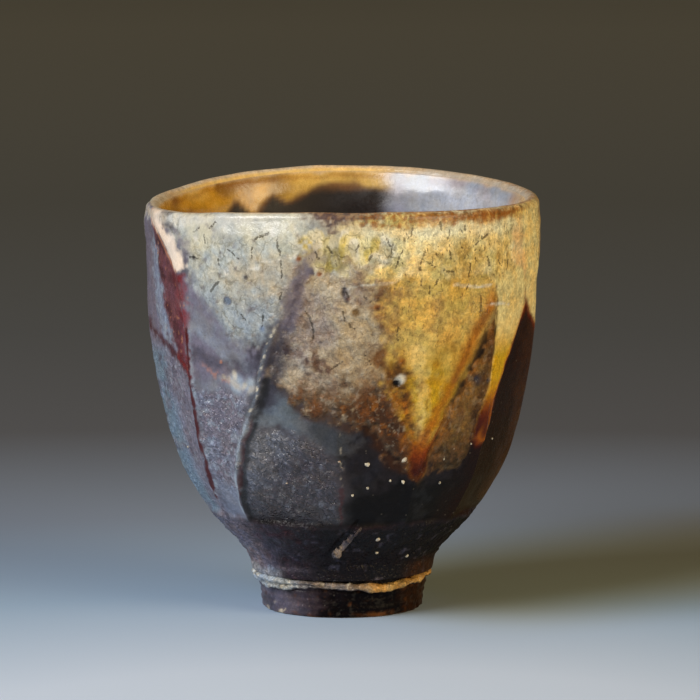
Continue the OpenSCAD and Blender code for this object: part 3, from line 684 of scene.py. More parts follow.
ash_tone.within(back_side, (
    ("warm cream", ramp(patch, 0.1, 0.7) * 0.5, dict(crackle=0.8)),
    ("crust", ramp(-patch, 0.25, 0.8) * 0.5, dict(dry=0.5)),
))
wall.cover(ash_mask, ash_tone.wash, ash_tone.fields)
ash_edge = near(above_line, 2.2) * back_side
lay("red brown", ash_edge * ramp(patch2, -0.4, 0.4) * 0.75, rough=0.2)
lay("rust", ash_edge * ramp(-patch2, 0.0, 0.6) * 0.5)

# Yellow and cream cells under the rim, then the tan and orange at the right
yellow = np.maximum(zone(YELLOW, 1.0, 1.2), zone(CREAM, 1.0, 1.2))
lay("yellow", yellow, crackle=0.7, dash=0.5)
plates = np.stack([A * MM_PER_DEGREE + 0.4 * ragged_x, Z * 0.7 + 0.4 * ragged_z, A * 0], axis=-1)
within(yellow, (
    ("cream", ramp(noise(plates, 1.5, 193), -0.2, 0.1) * 0.75),
    ("lip white", ramp(noise(plates, 1.9, 191), 0.1, 0.3) * 0.6),
    ("olive", ramp(-noise(plates, 1.7, 195), 0.25, 0.45) * 0.4),
))
lay("olive", zone([(-6, 77), (0, 78), (2, 74), (-3, 73)], 1.2, 1.4) * 0.7)
lay("tan", stroke([(61, 84), (63.5, 76), (65.5, 68)], 4.2, 1.4, 0.8) * 0.8, dash=0.1)
lay("rust", stroke([(76.5, 82), (79, 75), (84, 68), (88, 64)], 4.6, 1.8, 0.9) * 0.75, rough=0.22)
lay("ochre", stroke([(70, 80), (71, 72), (72, 66)], 2.6, 1.2, 0.8) * 0.7)
lay("warm cream", stroke([(33, 70.2), (45, 70), (57.5, 68.6)], 0.5, 0.3, 0.4) * 0.6, dash=0.0)

# Dry crust
lay("crust brown", zone([(4, 72), (20, 72), (23, 50), (21, 43), (8, 44), (4, 50)], 1.0, 1.0), dry=0.5,
    dash=0.2)
lay("crust", crust_mask, rough=0.5, dry=0.8, gloss=0.3, crackle=0.0, dash=0.15, grain=0.3, mottle=0.35,
    fleck=0.25)
upper_left = ramp(patch + 0.4 * patch2 - 0.05 * (A + 2), -0.4, 0.7)
within(crust_mask, (
    ("crust grey", ramp(Z + 5 * patch2, 48, 62) * 0.8),
    ("purple grey", upper_left * ramp(Z, 46, 58) * 0.5),
    ("crust brown", ramp(patch2 + 0.5 * small, 0.1, 0.8) * 0.45),
    ("dark brown", ramp(small + 0.5 * patch2, 0.6, 1.0) * (1 - 0.6 * ramp(Z, 54, 64)) * 0.4),
    ("pale", ramp(-small - 0.4 * patch2, 0.3, 0.9) * 0.3),
    ("pale", spot(-15, 52.6, 2.6, 1.8, 1.4) * 0.5),
    ("dark maroon", ramp(small, 0.0, 0.6) * stroke([(-18, 57), (-8, 55.5), (0, 52), (6, 48)], 5, 2.5, 1.5)
     * 0.55),
))
low_crust = fall(Z + 2.5 * patch, 44, 54)
tail = ramp(A, 2, 16) * fall(Z, 42, 50)
within(crust_mask, (
    ("crust brown", low_crust * 0.7),
    ("dark brown", low_crust * ramp(A + 8 * patch2, -22, -6) * 0.92),
    ("dark brown", tail * 0.6),
    ("rust", low_crust * ramp(patch2 + 0.4 * grain1, 0.1, 0.7) * 0.5, dict(rough=0.4)),
    ("orange", low_crust * ramp(small - 0.4 * patch2, 0.45, 0.9) * 0.45),
    ("crust grey", low_crust * ramp(grain1 - 0.3 * patch2, 0.5, 0.9) * 0.6),
))
lay("dark brown", near(d_crust + 0.9, 0.9) * ramp(-Z, -54, -47) * 0.7)
lay("purple grey", stroke([(-8, 78), (-11, 74.5), (-13, 70.5), (-14.6, 66.4), (-16, 63)], 2.6, 1.2, 0.7)
    * 0.75, dry=0.4, crackle=0.1)

# Brown between the runs, the runs and the dark beyond
right_low = right_low * (1 - 0.35 * ramp(Z + 2 * patch2, 62, 69))
within(right_low, (
    ("umber", 1.0, dict(rough=0.32, gloss=0.15, mottle=0.8, dash=0.3, crackle=0.0, grain=0.3, dry=0.2)),
    ("orange", near(np.minimum(d_run, 0), 2.2) * 0.7),
    ("orange", ramp(-patch2 + 0.6 * small, 0.4, 1.0) * 0.3),
    ("dark brown", ramp(patch2 + 0.4 * grain1, 0.0, 0.7) * 0.45),
    ("dark brown", stroke([(49.6, 69), (49.8, 63), (49.4, 57), (48, 50), (47, 42)], 1.6, 0.9, 0.6) * 0.7),
    ("crust", ramp(grain1 - 0.4 * patch2, 0.35, 0.9) * 0.4),
    ("dark spot", spot(45.6, 50.6, 1.2, 0.8) * 0.6),
    ("gloss black", fall(Z + 2.5 * patch2, 34, 41) * 0.8),
))
lay("crust brown", zone([(29, 38), (36, 46), (46, 45), (47, 36), (38, 33), (30, 33)], 1.5, 1.3)
    * ramp(small, 0.0, 0.6) * 0.5, fleck=0.6)
golden = zone([(66, 84), (69, 66), (72, 64), (79.5, 59.3), (87.4, 54.6), (97, 51.5), (106, 58), (106, 84)],
              1.2, 1.0)
golden = golden * fall(A + 6 * patch2, 84, 102)
within(golden, (
    ("ochre", 1.0, dict(gloss=0.3, dash=0.3)),
    ("rust", ramp(A + 4 * patch2, 76, 90) * 0.85),
))
within(beyond_mask, (
    ("brown black", 1.0, dict(rough=0.3, gloss=0.1, mottle=0.4, dash=0.0, crackle=0.0, grain=0.0)),
    ("dark brown", ramp(A + 4 * patch2, 66, 80) * 0.7),
    ("edge olive", band(A + 5 * patch2, 78, 92, 92, 108) * 0.7),
))
lay("red brown", near(area(BEYOND, 0.7) + 0.2, 0.7) * ramp(Z, 52, 58) * fall(A, 88, 96) * 0.75)
within(run_mask, (
    ("low ochre", ramp(above_line + 9 + 3 * patch2, -4, 8), dict(dash=0.6, rough=0.3, dry=0.0)),
    ("green ochre", ramp(patch2 + 0.5 * small, -0.1, 0.6) * 0.4),
    ("crust brown", ramp(-patch2 + 0.5 * small, 0.3, 0.9) * 0.4),
))
lay("crust brown", zone([(13, 66), (17, 64), (18, 56), (19, 49), (21, 43), (20, 40), (15, 48), (12, 58)],
                        2.2, 1.6) * (0.1 + 0.6 * ramp(small, 0.0, 0.6)))
lower_run = fall(Z + 2.5 * patch2, 46, 62)
within(run_mask, (
    ("amber", lower_run, dict(rough=0.25, gloss=0.2, dash=0.25, mottle=0.6, crackle=0.0, grain=0.0, dry=0.0)),
    ("ochre", stroke([(25.5, 38), (25.2, 46), (23.5, 52), (22, 58)], 2.6, 1.4, 0.8) * 0.6),
    ("green ochre", ramp(patch2, 0.0, 0.5) * lower_run * 0.6),
    ("orange", lower_run * ramp(-patch2 + 0.5 * small, 0.2, 0.8) * 0.35),
    ("dark brown", lower_run * ramp(small + 0.5 * grain1, 0.6, 1.0) * 0.45),
))
band_d = line_distance(RUN_BAND, 0.35)
within(run_mask, (
    ("orange", near(band_d, 1.5) * fall(Z, 66, 71) * 0.8),
    ("brown", near(band_d, 0.8) * fall(Z, 64, 71) * ramp(patch2, -0.5, 0.4) * 0.65),
))
lay("umber", near(d_run - 0.1, 1.1) * ramp(A, 26, 29) * fall(Z, 60, 67) * 0.6)
left_border = stroke([(15.5, 54), (18.5, 50), (20.6, 45.6), (23, 41), (24.6, 37)], 3.6, 1.4, 1.2)
within(left_border, (
    ("brown", 0.75, dict(mottle=0.7)),
    ("orange", ramp(patch2 + 0.5 * grain1, -0.1, 0.5) * 0.7),
    ("dark brown", ramp(small + 0.4 * grain1, -0.1, 0.5) * 0.8),
))
lay("red brown", near(d_run - 0.1, 0.5) * fall(Z, 40, 50) * ramp(A, 20, 26) * 0.7, rough=0.2)
within(run_mask, (
    ("orange", fall(Z, 37, 41) * 0.8, dict(gloss=0.1)),
    ("red brown", fall(Z + 0.8 * d_run, 37, 41) * 0.9),
    ("tip", fall(Z + 0.8 * d_run, 33.6, 38) * 0.9),
))
within(run2_mask, (
    ("ochre", 1.0, dict(rough=0.24, dash=0.3, crackle=0.0)),
    ("amber", fall(Z, 54, 62), dict(rough=0.25, gloss=0.2)),
    ("orange", fall(Z, 43, 52), dict(rough=0.13)),
    ("red brown", fall(Z, 42, 49) * 0.95),
    ("tip", fall(Z, 39.5, 47) * 0.92),
))
right_rim = ramp(A - 0.62 * (Z - 45), 52, 54) * fall(Z, 64, 69)
lay("orange", near(np.maximum(d_run2 - 0.3, 0), 1.1) * (d_run2 > 0) * right_rim * 0.85)
lay("red brown", near(d_run2 - 0.1, 0.5) * right_rim * 0.85)
lay("tip", near(d_run2 + 0.35, 0.45) * fall(Z, 40, 50) * ramp(A, 40, 44) * 0.75, rough=0.15)
lay("tip", near(d_run + 0.4, 0.4) * fall(Z, 36, 42) * ramp(A, 20, 24) * 0.7, rough=0.15)

# Edges of the cuts, with painted shade on the sides of their steps that face away from the lamp and painted
# highlights on their crests
right_of_ridge = line_distance([(turn + 1.2, z) for turn, z in RIDGE], 0.3)
lay("purple grey", near(right_of_ridge, 1.2) * band(Z, 54, 62, 73, 77) * 0.75, rough=0.25)
lay("dark purple", near(right_of_ridge, 0.8) * band(Z, 54, 60, 70, 76)
    * ramp(patch2 + 0.5 * grain1, -0.3, 0.4) * 0.6)
# painted shade: a soft dark band on the right of the ridge, where its step faces away from the lamp
lay("dark spot", stroke([(-15.2, 66), (-17, 61.3), (-18.1, 58.2), (-20.2, 54), (-22.6, 48.8), (-25.2, 45)],
                        3.6, 1.6, 0.7) * band(Z, 43, 47, 57, 66) * 0.85, rough=0.25)
lay("dark spot", near(ridge_d, 0.8) * band(Z, 41, 46, 56, 68) * 0.9, rough=0.2, gloss=1.0, grain=0.5)
# painted highlights: the light blue line and the pale dots picked by this noise stand in for glints along the
# ridge's crest
crest = noise(BASE, 0.75, 93)
lay("light blue", near(ridge_d, 0.4) * band(Z, 40, 44, 56, 64) * 0.3)
lay("pale", near(ridge_d, 0.32) * band(Z, 41, 46, 60, 66) * ramp(crest, 0.15, 0.4))
# painted shadow: gloss black on the right of the lower ridge, where its step falls away from the lamp
lay("gloss black", stroke([(turn + 0.9, z) for turn, z in RIDGE[8:]], 1.3, 0.6, 0.15) * 0.8, rough=0.15)
# painted shade: gloss black on the riser of the lower cut, the side that faces away from the lamp
riser_shift = [(turn + 1.6, z) for turn, z in CUT_EDGE]
lay("gloss black", stroke(riser_shift, 1.3, 0.5, 0.2) * 0.85, rough=0.22, grain=0.2)
# painted highlight: a thin light blue line on the lit left side of the lower cut's edge
lay("light blue", stroke([(turn - 0.9, z) for turn, z in CUT_EDGE[:8]], 0.7, 0.4, 0.25) * 0.75, rough=0.3)
lay("dark red", stroke([(turn + 0.3, z) for turn, z in CUT_EDGE[:7]], 0.45, 0.25, 0.2) * 0.6)
# Pale peach along the upper left cut: the glaze's own peach, painted lighter as the lit face of the step that
# faces the lamp
peach = zone(PEACH, 0.7, 0.6)
lay("peach", peach, rough=0.34, crackle=0.0, dash=0.0, grain=0.0, mottle=0.2)
lay("lip white", peach * ramp(A + 3 * patch2, -64, -56) * 0.3)
lay("orange edge", stroke([(turn - 0.9, z - 0.5) for turn, z in LEFT_EDGE[:4]], 0.7, 0.4, 0.3) * 0.8)
lay("red", stroke(LEFT_EDGE[4:8], 1.9, 1.0, 0.5) * 0.75, rough=0.2)
lay("red", stroke([(-57.5, 71), (-56, 66), (-56, 60), (-57, 55)], 2.4, 1.6, 0.9) * 0.3)
lay("orange edge", maroon * ramp(grain1 + 0.3 * patch2, 0.7, 0.95) * 0.6)
left_crest = [(turn + 1.1, z) for turn, z in LEFT_EDGE[6:]]
# painted highlight: a light blue line beside the left cut's crest
lay("light blue", stroke([(turn + 1.2, z) for turn, z in left_crest], 1.2, 0.6, 0.4)
    * ramp(grain1, -0.3, 0.5) * 0.6)
lay("dark red", stroke(left_crest, 0.95, 0.25, 0.25) * 0.95, rough=0.25, grain=0.1)
lay("dark red", spot(-57.2, 25.2, 0.7, 0.4) * 0.9)
lay("dark red", stroke(RED_DIAGONAL, 2.0, 1.0, 0.6) * 0.85, rough=0.22)
lay("red", stroke(RED_DIAGONAL[3:], 1.0, 0.6, 0.5) * 0.5)
lay("dark red", stroke([(-0.5, 29.4), (-0.4, 20.6)], 0.6, 0.4, 0.5) * 0.45)
# painted shade: the ledge where the cuts stop is painted dark over the light its top catches
lay("gloss black", near(Z - 20.7, 0.9) * band(A, -46, -40, 40, 60) * 0.85, rough=0.6, gloss=0.0)
# painted highlights: small pale dots along the edge at the front
lay("pale", stroke([(-0.5, 41), (-0.3, 30)], 0.3, 0.22, 0.2) * ramp(grain1, 0.4, 0.8) * 0.6)
lay("gloss black", stroke([(-81, 19.8), (-58, 20.2), (-44, 20.4), (-40, 20.2)], 0.7, 0.4, 0.4) * 0.7)
lay("dark purple", zone([(-67.1, 82.4), (-61.5, 82.4), (-56.9, 81.5), (-54.6, 80), (-56.9, 79.6),
                         (-61.5, 80.4), (-65.5, 81.3)], 0.8, 1.0) * 0.85)
lay("purple grey", stroke([(-56, 79.6), (-52, 77.4), (-50, 75)], 1.6, 1.0, 1.0) * 0.6)

# The rim
rim_gap = (column_top - LIP_H)[None, :] - Z
rim_band = fall(rim_gap + 0.8 * patch2 + 0.5 * small, -0.2, 1.7)
cream_band = near(np.maximum(rim_gap - 2.0 + 0.7 * patch2, 0), 1.1)
lay("lip white", ramp(A + 3 * patch2, -2, 6) * fall(A, 44, 62) * cream_band * 0.6, dash=0.3, crackle=0.2)
lay("cream", band(A, 0, 8, 60, 72) * cream_band * 0.6)
speckle = ramp(layered(BASE, 1.0, 181, 2), -0.15, 0.35)
rim_edge = fall(rim_gap + 0.7 * patch2, -0.4, 1.0)
lay("green ochre", rim_band * band(A, -2, 8, 60, 75) * 0.8, rough=0.4, dash=0.2, crackle=0.0)
lay("brown", rim_band * band(A, 4, 14, 60, 75) * ramp(small + 0.6 * grain1, -0.3, 0.5) * 0.7)
lay("rim orange", rim_band * ramp(A + 3 * patch2, 14, 30) * fall(A, 56, 66) * 0.5)
lay("rust", rim_band * ramp(A + 3 * patch2, 26, 34) * fall(A, 52, 60) * ramp(small, -0.2, 0.5) * 0.8)
wall.set(fall(rim_gap + 1.1 * patch2, 0.0, 1.8) * band(A, -4, 12, 56, 70), speck=0.55)
for turn, z, radius in [(5.6, 83.6, 0.5), (9.3, 83.7, 0.7), (11.8, 83.5, 0.4), (16.4, 83.2, 0.5),
                        (33.9, 82.9, 0.4)]:
    lay("rust", spot(turn, z, radius, 0.25, 0.2) * 0.75)
crusty_rim = zone([(-13, 84), (-10, 82.8), (-4, 82.4), (1, 83.4), (5, 84.4), (7, 90), (-12, 90)], 1.6, 1.4)
within(crusty_rim, (
    ("rim brown", ramp(A + 3 * patch2, -13, -5) * 0.85, dict(crackle=0.0)),
    ("dark purple", ramp(A + 3 * patch2, -12, -6) * ramp(grain1 + 0.4 * small, -0.3, 0.4) * 0.8),
    ("lip white", ramp(-small - 0.3 * grain1, 0.35, 0.8) * 0.5),
))
lay("lip white", rim_band * band(A, -110, -96, -36, -16) * 0.6)
lay("lip", rim_edge * band(A, -110, -96, -66, -56) * 0.5)
lay("lip", rim_band * back_side * (0.4 + 0.5 * speckle))

glossy_lip = band(A, -60, -46, -18, -10)
wall.set(glossy_lip * fall(rim_gap, 2.0, 4.5), rough=0.2, gloss=1.0, grain=0.0, crackle=0.1, mottle=0.2)

# Single marks
for turn, z, radius, name in [
        (-35, 67.4, 0.95, "dark spot"), (-35, 67.4, 0.75, "spot blue"), (-28.7, 72.4, 0.5, "dark spot"),
        (-23, 62.4, 0.6, "spot blue"), (-46.5, 79.2, 0.5, "lip white"), (-12.1, 76.9, 0.5, "rust"),
        (-35.2, 73.2, 0.6, "lip white"), (-47.3, 75.1, 0.5, "dark spot"),
        (1.9, 68.9, 0.45, "rust"), (10.2, 66.9, 0.6, "rust"),
        (3.7, 66.2, 0.8, "umber"), (45.2, 50.8, 0.6, "dark spot"),
        (49.8, 50.2, 0.45, "dark spot"), (-6.5, 73.6, 0.5, "rust"), (10.4, 66.6, 0.5, "dark brown"),
        (160, 62, 0.7, "dark spot"), (-128, 70, 0.6, "dark spot"), (118, 58, 0.5, "dark spot")]:
    lay(name, spot(turn, z, radius, 0.3, 0.3) * 0.9)
lay("dark spot", stroke([(1.1, 71.6), (0.7, 70), (1.3, 68.4)], 0.6, 0.35, 0.3) * 0.8)
lay("pale", spot(17.6, 52.1, 1.0, 0.35, 0.3) * 0.85)
lay("gloss black", spot(16.7, 51.3, 0.7, 0.25, 0.1), rough=0.2)

# Cracks, each from one place to another, and paler healed ones
CRACKS = [
    (-25.4, 80.1, -21.1, 81.4), (-19, 80.4, -17.7, 77.4), (-26.5, 78.9, -26.6, 76.5),
    (-17.4, 76.6, -17.3, 72.9), (-38.3, 71, -40.9, 68.5), (-49.2, 75, -45.6, 75.2),
    (-38.1, 75.8, -37.8, 74.5), (-42.9, 80.2, -42.7, 78.4), (-45.8, 81.4, -47.4, 80.3),
    (-39.2, 83.1, -41, 81.5), (-17, 70, -17.9, 68.6), (-23.2, 65.1, -23, 62.7), (-30.2, 64.8, -28.3, 63.5),
    (-34, 77.6, -31, 76.2), (20.5, 83.3, 20, 81.1), (37.9, 82.7, 37.9, 81.5), (29.3, 83.6, 29.3, 82),
    (32.2, 81.6, 31.5, 79.9), (46, 80, 42, 78.5), (41.6, 77.5, 42.2, 75), (39.9, 74.8, 39.2, 71.6),
    (46, 75.6, 46.7, 73.7), (50.4, 74.9, 52.7, 73.1), (24.6, 78, 22.6, 74.2), (24.9, 75.8, 27.3, 74.5),
    (30.2, 73.9, 33.7, 73.3), (28.5, 72.2, 27.4, 70.8), (23.1, 72.4, 23.2, 71.2), (25.9, 71.1, 25.9, 69.3),
    (32, 77.4, 33.1, 75.8), (17.1, 77.4, 15.5, 74.5), (15, 79.1, 14.4, 77.7), (39.3, 70.4, 38.6, 69.6),
    (56.7, 74.6, 55.9, 72.6), (44.4, 67.6, 44, 64.2), (1.7, 70.5, 2.3, 69), (6.8, 69, 8.5, 68),
    (16.4, 62.9, 16.2, 60.1), (-9.3, 64.5, -8.6, 60.5), (-0.3, 66.6, 0.6, 64.6), (-11, 65.9, -9.6, 64.5),
    (2.3, 63.8, 4, 62.6), (6.6, 57.4, 8.4, 55.4), (-3.5, 54.8, -0.3, 56.3), (13.2, 80.6, 14.1, 78.9),
    (-4.6, 79.2, -3.2, 77.8), (5.2, 79.6, 4.4, 78.2), (8.6, 77.4, 7.4, 76.3), (-7.6, 78.2, -6.6, 76.8),
]
PALE_CRACKS = [
    (-23.5, 75.7, -17.8, 76.4), (-17.8, 76.4, -13.2, 77.3), (-20.5, 82.3, -19.9, 81.1),
    (-13.5, 83.5, -11.8, 80.7), (-27.9, 74.2, -24.1, 74.5), (33.6, 70.7, 43.5, 69.6),
    (43.5, 69.6, 48.5, 69.9), (47.5, 66, 57.1, 65.2), (2, 71.1, 15.6, 71.7),
]
crack_d = np.full(A.shape, NO_CRACK)
for t1, z1, t2, z2 in CRACKS:
    crack_d = np.minimum(crack_d, line_distance([(t1, z1), (t2, z2)], 0.45, about=t1))
wall.fields["crack"] = crack_d
for t1, z1, t2, z2 in PALE_CRACKS:
    lay("lip white", stroke([(t1, z1), (t2, z2)], 0.3, 0.25, 0.3, t1) * 0.65)

# Underside of the body
within(under, (
    ("under", 0.95, dict(rough=0.5, grain=0.8, dry=0.0, mottle=0.6, fleck=0.06, dash=0.0, crackle=0.0,
                         gloss=0.15)),
    ("dark maroon", ramp(patch2, -0.1, 0.6) * 0.5),
    ("foot dark", band(A, -44, -4, 110, 160) * 0.9),
    ("purple grey", band(A, -130, -100, -60, -36) * 0.8),
    ("lavender", fall(A, -70, -52) * ramp(patch2, 0.0, 0.6) * ramp(A, -130, -100) * 0.5),
    ("foot light", ramp(small, 0.5, 0.95) * 0.3),
    ("dark brown", band(A, 34, 54, 90, 130) * fall(Z, 9.4, 13) * 0.6),
))
lay("seam pale", fall(Z + 0.7 * small, 8.8, 10.2) * band(A, -130, -100, -52, -36) * 0.4)
lay("foot light", near(tear_d, 0.4) * fall(A, -30, -14) * 0.4)

# Lip and inside colours
lip_a = np.repeat(A[-1][None, :], LIP_ROWS, axis=0)
lip_paint = Paint(lip_a.shape, "lip", 0.42)
lip_noise = layered(LIP, 2.2, 201, 3)
lip_paint.everywhere(mottle=0.5, grain=0.15)
across_lip = np.repeat(np.linspace(0, 1, LIP_ROWS)[:, None], COLUMNS, axis=1)
lip_paint.lay("rim brown", band(lip_a, -30, -6, 60, 80) * ramp(lip_noise, -0.6, 0.4) * 0.8)
lip_paint.lay("rim orange", band(lip_a, 10, 24, 80, 120) * fall(across_lip, 0.3, 0.7)
              * ramp(lip_noise, -0.3, 0.3) * 0.5)
lip_paint.set(band(lip_a, -20, 4, 110, 140) * fall(across_lip, 0.5, 0.9), speck=0.8)
lip_paint.lay("white ash", band(lip_a, -110, -90, -70, -40) * 0.3)
far_right = band(lip_a, 76, 104, 146, 176)
lip_paint.lay("lip grey", far_right * 0.5)
lip_paint.lay("pale", ramp(lip_noise, 0.2, 0.8) * 0.3)
lip_paint.lay("inside gold", ramp(across_lip, 0.72, 0.95) * ramp(np.abs(lip_a), 110, 125)
              * (1 - far_right) * 0.7)
lip_paint.lay("lip grey", ramp(across_lip, 0.7, 0.95) * far_right * 0.7)
lip_paint.set(ramp(across_lip, 0.7, 0.95) * ramp(np.abs(lip_a), 100, 120), rough=0.22, gloss=0.9,
              grain=0.0, mottle=0.3)

outer_half = fall(across_lip + 0.05 * lip_noise, 0.3, 0.46) * 0.95
mirrored = {name: value[::-1][:LIP_ROWS] for name, value in wall.fields.items()}
lip_paint.cover(outer_half, wall.wash[::-1][:LIP_ROWS], mirrored)
lip_small = layered(LIP, 0.9, 205, 2)
lip_crust = band(lip_a + 4 * lip_noise, -14, -8, 6, 14)
lip_paint.lay("rim brown", lip_crust * fall(across_lip + 0.1 * lip_noise, 0.45, 0.7) * 0.8, crackle=0.0)
lip_paint.lay("dark purple", lip_crust * fall(across_lip, 0.4, 0.6) * ramp(lip_small, -0.3, 0.3) * 0.7)
lip_beads = band(lip_a, 0, 12, 60, 80) * fall(across_lip, 0.25, 0.45)
lip_paint.lay("brown", lip_beads * ramp(lip_small, -0.2, 0.3) * 0.75)
lip_paint.lay("rust", lip_beads * ramp(-lip_small, 0.1, 0.5) * ramp(lip_a, 14, 30) * 0.6)

in_a = np.repeat(A[-1][None, :], INNER_ROWS, axis=0)
in_p, in_depth = IN[1:], (column_top[None, :] - IN[1:, :, 2])
inside = Paint(in_a.shape, "inside amber", 0.12)
in_patch, in_small = layered(in_p, 9, 211, 4), layered(in_p, 2.6, 221, 3)
in_wander = in_a + 8 * in_patch
dark_start = np.interp(in_a, [-180, -170, -162, -156, -149, -142, -134, -120, 0, 116, 146, 168, 180],
                       [4.0, 4.2, 6.6, 4.4, 8.6, 5.0, 9.6, 16, 16, 12, 7.6, 4.0, 4.0])
to_dark = ramp(in_depth + 1.0 * layered(in_p, 5, 231, 2) - dark_start, -1.0, 0.9)
inside.everywhere(mottle=0.22, gloss=0.3, rough=0.26)
inside.set(ramp(in_a, 90, 130), gloss=1.0)
left_dark = to_dark * fall(np.abs(signed(in_a + 150)), 24, 50)
inside.set(left_dark, gloss=0.0)
inside.lay("inside gold", ramp(in_patch, -0.1, 0.6) * 0.6)
inside.lay("inside tan", ramp(np.abs(in_wander), 150, 172) * 0.7)
inside.lay("inside brown", ramp(-in_patch, 0.1, 0.7) * 0.6)
# Painted reflection: violet and light blue on the right of the inner wall stand in for the glossy liner's
# reflection of the room
painted_violet_reflection = band(in_wander, 96, 120, 160, 172)
inside.lay("inside brown", to_dark * 0.9)
inside.lay("inside black", ramp(in_depth + 0.8 * in_patch - dark_start, 0.0, 2.0), rough=0.2)
inside.set(left_dark, rough=0.6)
inside.lay("inside violet", painted_violet_reflection * fall(in_depth, 11, 20) * 0.95, rough=0.4, mottle=0.35)
inside.lay("light blue", painted_violet_reflection * ramp(in_patch + 0.2 * in_small, -0.5, 0.5) * fall(in_depth, 9, 14) * 0.7)
# Painted reflection: a pale blue-white patch high on the right inner wall stands in for the lamp's reflection
# in the glaze
painted_lamp_reflection = near(in_a - 138 + 5 * in_patch, 17) * band(in_depth, 2.0, 4.0, 10, 16)
inside.lay("painted_lamp_reflection", painted_lamp_reflection * 0.75, rough=0.3)
inside.lay("inside black", band(in_depth, 14, 24, 46, 62), rough=0.08)
inside.lay("inside brown", ramp(in_small, 0.3, 0.9) * ramp(in_depth, 16, 30) * 0.5)
inside.lay("inside olive", ramp(in_depth + 4 * in_patch, 52, 66) * 0.9, crackle=0.6, rough=0.1)
inside.lay("pool", ramp(in_depth + 2 * in_patch, 66, 72) * 0.8, crackle=0.9)
inside.lay("inside gold", ramp(in_small, 0.3, 0.8) * ramp(in_depth, 60, 68) * 0.4)
inside.lay("lip", fall(in_depth + 0.3 * in_small, 1.0, 1.9) * 0.7, rough=0.3)
inside.lay("rust", near(in_depth - 2.2 + 0.4 * in_small, 0.5) * 0.4 * (1 - painted_violet_reflection))

WASH = np.concatenate([wall.wash, lip_paint.wash, inside.wash])
FIELDS = {name: np.concatenate([wall.fields[name], lip_paint.fields[name], inside.fields[name]])
          for name in wall.fields}


# Materials
class Nodes:
    """Short ways to add and join shader nodes."""

    def __init__(self, tree):
        self.tree = tree

    def put(self, kind, inputs=None, **settings):
        node = self.tree.nodes.new(kind)
        for key, value in settings.items():
            setattr(node, key, value)
        for key, value in (inputs or {}).items():
            if isinstance(value, bpy.types.NodeSocket):
                self.tree.links.new(value, node.inputs[key])
            else:
                node.inputs[key].default_value = value
        return node

    def math(self, operation, a, b=0.0, c=0.0, clamp=False):
        return self.put("ShaderNodeMath", {0: a, 1: b, 2: c}, operation=operation, use_clamp=clamp).outputs[0]

    def times(self, a, b, clamp=False):
        return self.math("MULTIPLY", a, b, clamp=clamp)

    def times_plus(self, a, b, c, clamp=False):
        """a times b, plus c."""
        return self.math("MULTIPLY_ADD", a, b, c, clamp=clamp)

    def centred(self, value):
        return self.math("SUBTRACT", value, 0.5)

    def vector(self, operation, a, b):
        """Vector math. A scale takes a single number."""
        inputs = {0: a, "Scale" if operation == "SCALE" else 1: b}
        return self.put("ShaderNodeVectorMath", inputs, operation=operation).outputs[0]

    def find(self, kind):
        return next(node for node in self.tree.nodes if node.type == kind)

    def field(self, name):
        return self.put("ShaderNodeAttribute", attribute_name=name).outputs["Fac"]

    def noise(self, vector, scale, detail=2.0, rough=0.5):
        inputs = {"Vector": vector, "Scale": scale, "Detail": detail, "Roughness": rough}
        return self.put("ShaderNodeTexNoise", inputs).outputs["Fac"]

    def cells(self, vector, scale, feature):
        return self.put("ShaderNodeTexVoronoi", {"Vector": vector, "Scale": scale},
                        feature=feature).outputs["Distance"]

    def grey(self, value):
        return self.put("ShaderNodeCombineColor", {0: value, 1: value, 2: value}).outputs[0]

    def between(self, value, low, high, out_low=0.0, out_high=1.0):
        inputs = {"Value": value, "From Min": low, "From Max": high, "To Min": out_low, "To Max": out_high}
        return self.put("ShaderNodeMapRange", inputs, interpolation_type="SMOOTHSTEP").outputs[0]

    def blend(self, factor, a, b, kind="MIX"):
        """Mixes two colours. The colour sockets of the node are 6 and 7."""
        inputs = {0: factor, 6: a, 7: b}
        return self.put("ShaderNodeMix", inputs, data_type="RGBA", blend_type=kind).outputs[2]


def opaque(colour):
    return tuple(float(c) for c in colour) + (1.0,)


def solid(name):
    return opaque(COLOUR[name])


SHINE = {"liner_glaze": 0.6, "foot_clay": 0.05, "seam_clay": 0.15, "clay_chip": 0.15}
WAVE = {"liner_glaze": 0.3}
COAT_ROUGH = {"liner_glaze": 0.18, "ash_crust": 0.3, "amber_glaze": 0.08, "ash_glaze": 0.16}


